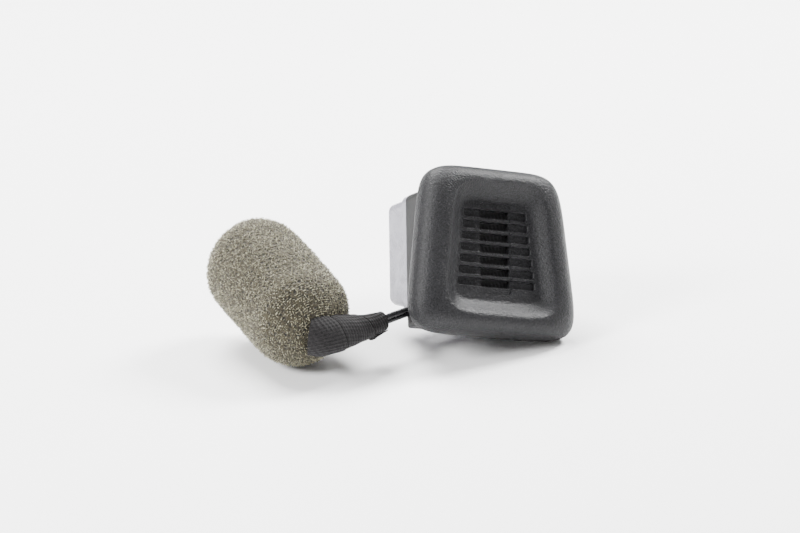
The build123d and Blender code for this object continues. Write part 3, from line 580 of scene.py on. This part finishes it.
def cap_shell(cap, material):
    """The closed cap with its wall, before the slots are cut."""
    rings = cap_rings(cap)
    vertices = []
    for ring in rings:
        for i in range(RING_COUNT):
            vertices.append(cap_point(cap, 2 * math.pi * (i + 0.5) / RING_COUNT, ring))
    faces = ring_faces(len(rings), RING_COUNT)
    last = (len(rings) - 1) * RING_COUNT
    faces.append(tuple(range(last, last + RING_COUNT)))
    inner = len(vertices)
    inside = (cap.wall, cap.wall, cap.depth - cap.dish - cap.wall, RIM_SQUARE, 0.0)
    for i in range(RING_COUNT):
        vertices.append(cap_point(cap, 2 * math.pi * (i + 0.5) / RING_COUNT, inside))
    for i in range(RING_COUNT):
        j = (i + 1) % RING_COUNT
        faces.append((i, inner + i, inner + j, j))
    faces.append(tuple(range(inner + RING_COUNT - 1, inner - 1, -1)))
    return piece("grille_cover", vertices, faces, material)


def rounded_block(x, y, width, height, radius, levels):
    """Rings of a block with round corners. Each level is its height and how far it is let out."""
    vertices = []
    for z, out in levels:
        reach = radius + out
        for corner in range(4):
            sx, sy = ((1, 1), (-1, 1), (-1, -1), (1, -1))[corner]
            cx, cy = x + sx * (width / 2 - radius), y + sy * (height / 2 - radius)
            for step in range(CORNER_STEPS + 1):
                turn = math.pi / 2 * (corner + step / CORNER_STEPS)
                right, up = reach * math.cos(turn), reach * math.sin(turn)
                vertices.append(in_unit(cx + right, cy + up, z))
    return vertices


def block_faces(levels, start):
    faces = ring_faces(levels, BLOCK_COUNT, start)
    faces.append(tuple(range(start + BLOCK_COUNT - 1, start - 1, -1)))
    last = start + (levels - 1) * BLOCK_COUNT
    faces.append(tuple(range(last, last + BLOCK_COUNT)))
    return faces


def cutter(blocks, levels, material):
    """One mesh of blocks that all have the same number of levels."""
    vertices, faces = [], []
    for block in blocks:
        faces += block_faces(len(levels), len(vertices))
        vertices += block
    return piece("cutter", vertices, faces, material)


def slot_rows(cap):
    """The height and width of each slot, from the top one down."""
    floor_side = cap.side_rim + cap.side_slope + SLOT_END
    for i in range(SLOT_COUNT):
        y = cap.slot_rise + ((SLOT_COUNT - 1) / 2 - i) * cap.slot_pitch
        half = (cap.bottom_width + (cap.top_width - cap.bottom_width) * (0.5 + y / cap.height)) / 2
        yield y, 2 * (half - floor_side)


def cut_slots(cap, shell, material):
    """The shallow column first, then the blind slots, then the windows right through."""
    floor = cap.depth - cap.dish
    wide = cap.window_width + COLUMN_WIDER
    tall = (SLOT_COUNT - 1) * cap.slot_pitch + cap.slot_height + COLUMN_TALLER
    levels = [(floor - COLUMN_DEPTH, 0.0), (floor, COLUMN_FLARE), (floor + CUT_CLEAR, COLUMN_TOP)]
    column = rounded_block(0, cap.slot_rise, wide, tall, COLUMN_CORNER, levels)
    cut(shell, cutter([column], levels, material))
    levels = [
        (floor - cap.slot_depth, 0.0),
        (floor - LIP_CHAMFER, 0.0),
        (floor + LIP_ABOVE, LIP_CHAMFER),
        (floor + CUT_CLEAR, LIP_CHAMFER),
    ]
    blocks = []
    for y, wide in slot_rows(cap):
        blocks.append(rounded_block(0, y, wide, cap.slot_height, SLOT_CORNER, levels))
    cut(shell, cutter(blocks, levels, material))
    levels = [(floor - cap.wall - CUT_CLEAR, 0.0), (floor + WINDOW_ABOVE, 0.0)]
    wide, tall = cap.window_width, cap.slot_height - WINDOW_PLAY
    blocks = [rounded_block(0, y, wide, tall, WINDOW_CORNER, levels) for y, _ in slot_rows(cap)]
    cut(shell, cutter(blocks, levels, material))


class MIC_OT_grille_cap(bpy.types.Operator):
    """Builds the pillow-shaped grille cap with its slots and windows"""

    bl_idname = "mic.grille_cap"
    bl_label = "Grille cap"

    def execute(self, context):
        cap = context.scene.mic_cap
        material = grained_abs(cap.colour, cap.grain)
        shell = cap_shell(cap, material)
        cut_slots(cap, shell, material)
        shell.data.shade_smooth()
        shell.data.set_sharp_from_angle(angle=CAP_EDGE_ANGLE)
        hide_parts("grille_cap")
        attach(shell, UNIT_BODY)
        return {"FINISHED"}


# Lead


def route_curve(name, shift):
    """A smooth open curve along the lead's route."""
    data = bpy.data.curves.new(name, "CURVE")
    data.dimensions = "3D"
    spline = data.splines.new("NURBS")
    spline.points.add(len(LEAD_ROUTE) - 1)
    for point, place in zip(spline.points, LEAD_ROUTE):
        point.co = (*(LEAD_EXIT + Vector(place) + shift), 1.0)
    spline.order_u = 3
    spline.use_endpoint_u = True
    data.resolution_u = 16
    made = bpy.data.objects.new(name, data)
    bpy.context.scene.collection.objects.link(made)
    return made


def route_line():
    """Points along the middle of the lead."""
    middle = route_curve("route_middle", Vector())
    graph = bpy.context.evaluated_depsgraph_get()
    mesh = bpy.data.meshes.new_from_object(middle.evaluated_get(graph))
    points = [v.co.copy() for v in mesh.vertices]
    bpy.data.objects.remove(middle)
    return points


class MIC_OT_lead(bpy.types.Operator):
    """Lays the two insulated wires from the board to the plug"""

    bl_idname = "mic.lead"
    bl_label = "Lead"

    def execute(self, context):
        lead = context.scene.mic_lead
        material = extruded_pvc(lead.colour)
        for name, node, side in (
            ("lead_signal", "wire_signal", 1),
            ("lead_ground", "wire_ground", -1),
        ):
            made = route_curve(name, WIRE_SIDE * side * lead.spacing / 2)
            made.data.bevel_depth = lead.diameter / 2
            made.data.bevel_resolution = 8
            made.data.use_fill_caps = True
            made.data.materials.append(material)
            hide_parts(node)
            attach(made, UNIT_BODY)
        return {"FINISHED"}


# Foam sleeve

SLEEVE_COLUMNS, SLEEVE_STEPS = 240, 100
# Broad and narrow lumps: how often they come in a metre, and how deep they are.
LUMPS = ((110.0, 0.35 * MM), (45.0, 0.5 * MM))
SKIN_BELOW, CELL_DEPTH, CELL_MIDDLE = 0.3 * MM, 0.34 * MM, 0.35
# The tape draws the foam in along the first half of its line, sampled at every fifth point.
PINCH_REACH, PINCH_DEPTH, PINCH_STEP = 5.0 * MM, 0.7 * MM, 5
# Each strut's span and rise as shares of a cell, then its radius and rooting in millimetres.
STRUT_SPAN, STRUT_RISE, STRUT_RADIUS = (0.32, 0.8), (0.12, 0.5), (0.04, 0.068)
STRUT_FOOT, ARCH_VERTICES = 0.12, 9
STRUT_SEED, SHADE_SEED = 7, 11


def sleeve_frame():
    """The sleeve's middle and two directions across it."""
    low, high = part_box("foam_wrap")
    across = SLEEVE_ALONG.cross(Vector((0, 0, 1))).normalized()
    return (low + high) / 2, across, across.cross(SLEEVE_ALONG)


def sleeve_profile(sleeve):
    """Radius and place along the sleeve, evenly spaced from the middle of one end to the other."""
    flat = sleeve.radius - sleeve.edge
    straight = sleeve.length - 2 * sleeve.edge
    arc = math.pi / 2 * sleeve.edge
    total = 2 * flat + 2 * arc + straight
    points = []
    for k in range(SLEEVE_STEPS + 1):
        s = total * k / SLEEVE_STEPS
        mirrored = s > total / 2
        t = total - s if mirrored else s
        if t < flat:
            r, z = t, 0.0
        elif t < flat + arc:
            turn = (t - flat) / sleeve.edge
            r, z = flat + sleeve.edge * math.sin(turn), sleeve.edge * (1 - math.cos(turn))
        else:
            r, z = sleeve.radius, sleeve.edge + t - flat - arc
        z -= sleeve.length / 2
        points.append((r, -z if mirrored else z))
    return points


def pinch(point, line):
    """How much the tape draws the foam in at a point, from 0 to 1."""
    near = min((point - p).length for p in line)
    return math.exp(-((near / PINCH_REACH) ** 2))


def sleeve_point(sleeve, middle, across, upward, line, turn, r, z):
    """One point of the foam's skin: a lumpy, slightly crushed cylinder with rough cells."""
    way = across * math.cos(turn) + upward * math.sin(turn)
    point = middle + way * r + SLEEVE_ALONG * z
    inward = (middle + SLEEVE_ALONG * z * 0.6 - point).normalized()
    lump = sum(noise.noise(point * rate) * depth for rate, depth in LUMPS)
    cells = noise.voronoi(point / sleeve.cell, distance_metric="DISTANCE")[0]
    rough = (cells[1] - cells[0] - CELL_MIDDLE) * CELL_DEPTH
    crush = pinch(point, line) * PINCH_DEPTH
    return point + inward * (lump + SKIN_BELOW + rough + crush)


def sleeve_mesh(sleeve, material, line):
    """The foam's closed skin with its struts, and an attribute that tells each strut's share of the pale colour,
    its painted highlight.
    """
    middle, across, upward = sleeve_frame()
    count = SLEEVE_COLUMNS
    vertices = []
    profile = sleeve_profile(sleeve)
    for r, z in profile[1:-1]:
        for i in range(count):
            turn = 2 * math.pi * i / count
            vertices.append(sleeve_point(sleeve, middle, across, upward, line, turn, r, z))
    faces = [tuple(reversed(f)) for f in ring_faces(len(profile) - 2, count)]
    last = len(vertices) - count
    for first, z, flip in ((0, profile[0][1], True), (last, profile[-1][1], False)):
        tip = len(vertices)
        vertices.append(sleeve_point(sleeve, middle, across, upward, line, 0, 0, z))
        for i in range(count):
            j = (i + 1) % count
            faces.append((first + i, first + j, tip) if not flip else (first + j, first + i, tip))
    skin = len(vertices)
    add_struts(sleeve, vertices, faces, [f for f in faces if len(f) == 4])
    made = piece("foam_sleeve", vertices, faces, material, math.radians(180))
    mark = made.data.attributes.new("strut", "FLOAT", "POINT")
    draw = random.Random(SHADE_SEED)
    # Each arch gets a random share of the pale colour, its painted highlight.
    shades = [draw.uniform(0.1, 1.0) for _ in range(sleeve.struts)]
    for i, value in enumerate(mark.data):
        value.value = shades[(i - skin) // ARCH_VERTICES] if i >= skin else 0.0
    return made


def add_struts(sleeve, vertices, faces, skin):
    """Cell rims that stand a little proud of the skin: thin arches from one spot to another."""
    draw = random.Random(STRUT_SEED)
    areas = [0.0]
    for a, b, c, d in skin:
        area = (vertices[b] - vertices[a]).cross(vertices[d] - vertices[a]).length
        areas.append(areas[-1] + area)
    for _ in range(sleeve.struts):
        face = skin[min(bisect.bisect(areas, draw.random() * areas[-1]) - 1, len(skin) - 1)]
        corner = vertices[face[0]]
        right, ahead = vertices[face[1]] - corner, vertices[face[3]] - corner
        normal = right.cross(ahead).normalized()
        turn = draw.random() * 2 * math.pi
        way = right.normalized() * math.cos(turn)
        way += right.cross(normal).normalized() * math.sin(turn)
        span = sleeve.cell * draw.uniform(*STRUT_SPAN)
        rise = sleeve.cell * draw.uniform(*STRUT_RISE)
        foot = -normal * STRUT_FOOT * MM
        reach = way * span / 2
        arch = [corner - reach + foot, corner + normal * rise, corner + reach + foot]
        radius = draw.uniform(*STRUT_RADIUS) * MM
        add_arch(vertices, faces, arch, normal, way.cross(normal), radius)


def add_arch(vertices, faces, arch, normal, side, radius):
    """A three-sided rod through three points."""
    start = len(vertices)
    for point in arch:
        vertices.append(point + normal * radius)
        vertices.append(point - normal * radius * 0.5 + side * radius)
        vertices.append(point - normal * radius * 0.5 - side * radius)
    for k in range(2):
        for i in range(3):
            j = (i + 1) % 3
            a, b = start + 3 * k, start + 3 * k + 3
            faces.append((a + i, a + j, b + j, b + i))


def keep_above_table(made, lift=0.0):
    """Flattens whatever would sink below the table onto it."""
    for vertex in made.data.vertices:
        vertex.co.z = max(vertex.co.z, lift)


class MIC_OT_foam_sleeve(bpy.types.Operator):
    """Builds the open-cell foam sleeve round the plug"""

    bl_idname = "mic.foam_sleeve"
    bl_label = "Foam sleeve"

    def execute(self, context):
        sleeve = context.scene.mic_sleeve
        material = open_cell_foam(sleeve.colour, sleeve.painted_cell_shade, sleeve.cell)
        line = tape_line()
        line = line[: len(line) // 2 : PINCH_STEP]
        made = sleeve_mesh(sleeve, material, line)
        keep_above_table(made)
        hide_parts("foam_wrap")
        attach(made, UNIT_BODY)
        return {"FINISHED"}


# Cloth tape

# Where the tape starts and ends, across from the lead's exit.
TAPE_START, TAPE_END = -6.6 * MM, -23.8 * MM
TAPE_COLUMNS, LINE_STEPS, INNER_LAYERS = 120, 6, 1.6
# The wrap's radius in millimetres at each share of its length.
TAPE_RADII = ((0.0, 2.05), (0.12, 2.3), (0.36, 3.15), (0.65, 4.25), (0.85, 4.6), (1.0, 4.45))
# The step at each layer's edge: turns of the spiral, height in layers, sharpness and fade.
WRAP_TURNS, EDGE_STEP, EDGE_SHARP, EDGE_FADE = 2.4, 1.3, 14, 0.35
CREASES_ALONG, CREASES_ROUND, CREASE_DEPTH = 9, 1.4, 0.16 * MM
FLATTENING, FLATTENS_FROM = 0.25, 0.4
# The cosine and sine of the slant at which the tape was wound.
SLANT_COS, SLANT_SIN = 0.94, 0.34
# The loose end: grid, where it starts round the wrap and how far it goes, then sizes.
FLAP_COLUMNS, FLAP_ROWS = 14, 10
FLAP_FROM, FLAP_SWEEP = -130, 62
FLAP_LIFT, FLAP_CURL, FLAP_THICK, FLAP_FRAY = 0.35 * MM, 0.9 * MM, 0.25 * MM, 0.1 * MM
FLAP_BACK, FLAP_LONG, FRAY_RATE = 0.75 * MM, 4.6 * MM, 0.9
# Where the loose end lies on the wrap, as shares of the wrap's length.
FLAP_AT, FLAP_SPAN = 0.04, 0.28
FLAP_PITCH = (0.33 * MM, 0.3 * MM)
TAPE_ABOVE_TABLE = 0.2 * MM


def tape_line():
    """The stretch of the lead's middle line that the tape covers, closely spaced."""
    points = route_line()
    kept = [p for p in points if TAPE_END < (p - LEAD_EXIT).x < TAPE_START]
    dense = []
    for a, b in zip(kept, kept[1:]):
        for k in range(LINE_STEPS):
            dense.append(a.lerp(b, k / LINE_STEPS))
    return dense + [kept[-1]]


def tape_radius(share):
    """The wrap swells from the wires towards the foam."""
    for (a, low), (b, high) in zip(TAPE_RADII, TAPE_RADII[1:]):
        if share <= b:
            t = (share - a) / (b - a)
            return (low + (high - low) * t) * MM
    return TAPE_RADII[-1][1] * MM


def tape_point(tape, line, k, turn, layer):
    """One point of the wrap. Its layers step down along a spiral, and it flattens on the foam."""
    share = k / (len(line) - 1)
    ahead = (line[min(k + 1, len(line) - 1)] - line[max(k - 1, 0)]).normalized()
    upward = (Vector((0, 0, 1)) - ahead * ahead.z).normalized()
    across = ahead.cross(upward)
    spiral = (share * WRAP_TURNS + turn / (2 * math.pi)) % 1.0
    step = tape.thickness * EDGE_STEP * min(1.0, spiral * EDGE_SHARP) * (1.0 - EDGE_FADE * spiral)
    c, s = math.cos(turn) * CREASES_ROUND, math.sin(turn) * CREASES_ROUND
    crease = noise.noise(Vector((share * CREASES_ALONG, c, s))) * CREASE_DEPTH
    r = tape_radius(share) - tape.thickness * layer + step + crease
    flat = 1.0 - FLATTENING * max(0.0, share - FLATTENS_FROM)
    return line[k] + upward * math.sin(turn) * r + across * math.cos(turn) * r * flat


def tape_mesh(tape, material, line):
    """The wrap as a closed tube: out along its outer face and back along its inner one."""
    count, rows = TAPE_COLUMNS, len(line)
    vertices = []
    for layer, order in ((0.0, range(rows)), (INNER_LAYERS, range(rows - 1, -1, -1))):
        for k in order:
            for i in range(count):
                vertices.append(tape_point(tape, line, k, 2 * math.pi * i / count, layer))
    faces = ring_faces(2 * rows, count)
    last = (2 * rows - 1) * count
    for i in range(count):
        j = (i + 1) % count
        faces.append((last + i, last + j, j, i))
    made = piece("tape_binding", vertices, faces, material, math.radians(50))
    lay_cloth(made, line, count)
    return made


def lay_cloth(made, line, count):
    """UVs in metres: along the wrap and round it, with the threads on a slant as it was wound."""
    layer = made.data.uv_layers.new(name="cloth")
    rows = len(line)
    run = [0.0]
    for a, b in zip(line, line[1:]):
        run.append(run[-1] + (b - a).length)
    for face in made.data.polygons:
        corners = [made.data.loops[i].vertex_index for i in face.loop_indices]
        turns = [v % count for v in corners]
        wraps = max(turns) - min(turns) > count / 2
        for loop, vertex, turn in zip(face.loop_indices, corners, turns):
            row = vertex // count
            row = row if row < rows else 2 * rows - 1 - row
            if wraps and turn == 0:
                turn = count
            around = 2 * math.pi * turn / count * tape_radius(row / (rows - 1))
            u, v = run[row], around
            layer.data[loop].uv = (u * SLANT_COS + v * SLANT_SIN, v * SLANT_COS - u * SLANT_SIN)


def loose_flap(material, line):
    """The tape's cut end, lifted a little off the wrap below the wires."""
    vertices = []
    start, ahead = line[0], (line[LINE_STEPS] - line[0]).normalized()
    upward = (Vector((0, 0, 1)) - ahead * ahead.z).normalized()
    across = ahead.cross(upward)
    columns, rows = FLAP_COLUMNS, FLAP_ROWS
    root = tape_radius(FLAP_AT)
    for side in (0, 1):
        for i in range(rows + 1):
            for j in range(columns + 1):
                t, w = i / rows, j / columns
                turn = math.radians(FLAP_FROM + FLAP_SWEEP * t)
                lift = root + FLAP_LIFT + FLAP_CURL * t**2 + side * FLAP_THICK
                along = -FLAP_BACK * (0.4 + t) + FLAP_LONG * w
                out = upward * math.sin(turn) + across * math.cos(turn)
                swell = tape_radius(FLAP_SPAN * w) - root
                fray = noise.noise(Vector((i * FRAY_RATE, j * FRAY_RATE, 0.0))) * FLAP_FRAY
                vertices.append(start + ahead * along + out * (lift + swell + fray))
    faces = []
    size = (rows + 1) * (columns + 1)
    for i in range(rows):
        for j in range(columns):
            a = i * (columns + 1) + j
            b = a + columns + 1
            faces.append((a, b, b + 1, a + 1))
            faces.append((size + a, size + a + 1, size + b + 1, size + b))
    edge = list(range(columns + 1))
    edge += [i * (columns + 1) + columns for i in range(1, rows + 1)]
    edge += [rows * (columns + 1) + j for j in range(columns - 1, -1, -1)]
    edge += [i * (columns + 1) for i in range(rows - 1, 0, -1)]
    for a, b in zip(edge, edge[1:] + edge[:1]):
        faces.append((a, b, size + b, size + a))
    made = piece("tape_flap", vertices, faces, material)
    layer = made.data.uv_layers.new(name="cloth")
    for face in made.data.polygons:
        for loop in face.loop_indices:
            row, column = divmod(made.data.loops[loop].vertex_index % size, columns + 1)
            layer.data[loop].uv = (column * FLAP_PITCH[0], row * FLAP_PITCH[1])
    return made


class MIC_OT_cloth_tape(bpy.types.Operator):
    """Wraps the woven tape from the wires onto the foam"""

    bl_idname = "mic.cloth_tape"
    bl_label = "Cloth tape"

    def execute(self, context):
        tape = context.scene.mic_tape
        material = woven_tape(tape.colour, tape.thread)
        line = tape_line()
        wrap = tape_mesh(tape, material, line)
        flap = loose_flap(material, line)
        for made in (wrap, flap):
            keep_above_table(made, TAPE_ABOVE_TABLE)
            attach(made, UNIT_BODY)
        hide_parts("tape_wrap")
        return {"FINISHED"}


# Frame nodes that keep their CAD shape


class MIC_OT_frame_finishes(bpy.types.Operator):
    """Gives each CAD piece its real material"""

    bl_idname = "mic.frame_finishes"
    bl_label = "Frame finishes"

    def execute(self, context):
        satin, rubber = satin_abs(), moulded_rubber()
        aluminium = metal("aluminium_drawn", "#c9cacc", 0.3, 0.12 * MM)
        brass = metal("brass_tinned", "#cfc6a4", 0.3, 0.1 * MM)
        skin, gloss = 0.02 * MM, 0.01 * MM
        epoxy = moulded_solid("epoxy_transfer_moulded", "#141414", "#252525", 0.5, 0.25 * MM, skin)
        nylon = moulded_solid("nylon_moulded", "#d8d3c2", "#e6e2d4", 0.45, 0.5 * MM, skin)
        film = moulded_solid("polyester_film_metallised", "#b4b4b8", "#cfcfd2", 0.2, 0.8 * MM, gloss)
        ceramic = moulded_solid("ceramic_fired", "#8a7048", "#a58a5e", 0.4, 0.3 * MM, skin)
        board, cloth = glass_epoxy(), acoustic_cloth()
        finishes = {
            "carrier": satin,
            "panel_clip_top": satin,
            "panel_clip_bottom": satin,
            "mesh_frame": satin,
            "strain_tie": satin,
            "rear_housing": polished_abs(),
            "panel_seal": sponge_rubber(),
            "capsule_boot": rubber,
            "lead_grommet": rubber,
            "grille_mesh": cloth,
            "capsule_felt": cloth,
            "capsule_can": aluminium,
            "electrolytic_capacitor": aluminium,
            "board_screws": metal("steel_zinc_plated", "#b9bcc0", 0.28, 0.1 * MM),
            "capsule_pins": brass,
            "plug_terminals": brass,
            "diaphragm_ring": brass,
            "back_plate": brass,
            "gate_ring": brass,
            "preamp_board": board,
            "capsule_board": board,
            "chip_resistors": epoxy,
            "output_transistor": epoxy,
            "fet": epoxy,
            "chip_capacitors": ceramic,
            "lead_header": nylon,
            "back_plate_holder": nylon,
            "plug_housing": nylon,
            "terminal_lock": nylon,
            "plug_latch": nylon,
            "diaphragm": film,
            "spacer_ring": film,
        }
        for name, material in finishes.items():
            node = frame["nodes"][name]
            node.data.materials.clear()
            node.data.materials.append(material)
        return {"FINISHED"}


# Stage

TABLE_HALF, WORLD_LIGHT = 3.0, 0.45
# The lights aim at the object's middle. Each has a place, its side and a share of the key.
LIGHT_AIM = (0, 0, 0.01)
LIGHTS = {
    "overhead_softbox": ((-0.23, 0.34, 0.62), 0.42, 1.0),
    "right_softbox": ((0.38, 0.33, 0.5), 0.22, 0.75),
    "left_softbox": ((-0.66, -0.42, 0.5), 0.3, 0.9),
}
# The camera's target from the cap's back rim: out of it, leftward and downward, in millimetres.
TARGET_OUT, TARGET_LEFT, TARGET_DOWN = 1.5, 21.46, 3.07


def soft_light(name, place, size, power):
    data = bpy.data.lights.new(name, "AREA")
    data.energy = power
    data.shape = "RECTANGLE"
    data.size = data.size_y = size
    made = bpy.data.objects.new(name, data)
    bpy.context.scene.collection.objects.link(made)
    made.location = place
    made.rotation_euler = (Vector(LIGHT_AIM) - Vector(place)).to_track_quat("-Z", "Y").to_euler()


def pale_table():
    """White laminate, faintly satin."""
    made, tree, shader, place = new_material("laminate_white")
    haze = add(tree, "TexNoise", {"Vector": place, "Scale": 1 / (83.33 * MM), "Detail": 2.0})
    shades = {FACTOR: haze.outputs["Fac"], LOW: linear("#fafafa"), HIGH: linear("#ffffff")}
    tone = add(tree, "Mix", shades, data_type="RGBA")
    feed(shader, {"Base Color": tone.outputs[COLOUR], "Roughness": 0.6})
    return made


class MIC_OT_stage(bpy.types.Operator):
    """Sets up the table, the soft lights and the camera"""

    bl_idname = "mic.stage"
    bl_label = "Stage"

    def execute(self, context):
        stage = context.scene.mic_stage
        half = TABLE_HALF
        corners = [(-half, -half, 0), (half, -half, 0), (half, half, 0), (-half, half, 0)]
        piece("table", corners, [(0, 1, 2, 3)], pale_table())
        world = bpy.data.worlds.new("white_room")
        world.use_nodes = True
        sky = {"Color": (1.0, 1.0, 1.0, 1.0), "Strength": WORLD_LIGHT}
        feed(world.node_tree.nodes["Background"], sky)
        context.scene.world = world
        for name, (place, size, share) in LIGHTS.items():
            soft_light(name, place, size, stage.key * share)
        self.camera(context, stage)
        return {"FINISHED"}

    def camera(self, context, stage):
        """Looks at the whole object from in front, with the unit to the right of the middle."""
        data = bpy.data.cameras.new("camera")
        data.lens = stage.lens
        made = bpy.data.objects.new("camera", data)
        context.scene.collection.objects.link(made)
        ahead = Vector((0, math.cos(stage.elevation), -math.sin(stage.elevation)))
        upward = Vector((0, math.sin(stage.elevation), math.cos(stage.elevation)))
        target = in_unit(0, 0, TARGET_OUT * MM) - Vector((TARGET_LEFT * MM, 0, 0))
        target -= upward * TARGET_DOWN * MM
        made.location = target - ahead * stage.distance
        made.rotation_euler = ahead.to_track_quat("-Z", "Y").to_euler()
        context.scene.camera = made


class MIC_PT_panel(bpy.types.Panel):
    """Lists the microphone's pieces"""

    bl_label = "Microphone"
    bl_idname = "MIC_PT_panel"
    bl_space_type = "VIEW_3D"
    bl_region_type = "UI"
    bl_category = "Microphone"

    def draw(self, context):
        for operator in OPERATORS:
            self.layout.operator(operator.bl_idname)
        for name in SETTINGS:
            box = self.layout.box()
            settings = getattr(context.scene, name)
            for prop in settings.bl_rna.properties:
                if prop.identifier not in ("rna_type", "name"):
                    box.prop(settings, prop.identifier)


SETTINGS = {
    "mic_cap": CapSettings,
    "mic_sleeve": SleeveSettings,
    "mic_tape": TapeSettings,
    "mic_lead": LeadSettings,
    "mic_stage": StageSettings,
}
OPERATORS = (
    MIC_OT_stage,
    MIC_OT_lead,
    MIC_OT_foam_sleeve,
    MIC_OT_cloth_tape,
    MIC_OT_grille_cap,
    MIC_OT_frame_finishes,
)


def register():
    for name, group in SETTINGS.items():
        bpy.utils.register_class(group)
        setattr(bpy.types.Scene, name, bpy.props.PointerProperty(type=group))
    for operator in OPERATORS:
        bpy.utils.register_class(operator)
    bpy.utils.register_class(MIC_PT_panel)


def unregister():
    bpy.utils.unregister_class(MIC_PT_panel)
    for operator in reversed(OPERATORS):
        bpy.utils.unregister_class(operator)
    for name, group in reversed(list(SETTINGS.items())):
        delattr(bpy.types.Scene, name)
        bpy.utils.unregister_class(group)


def main():
    register()
    for operator in OPERATORS:
        group, name = operator.bl_idname.split(".")
        getattr(getattr(bpy.ops, group), name)()


if __name__ == "__main__":
    main()
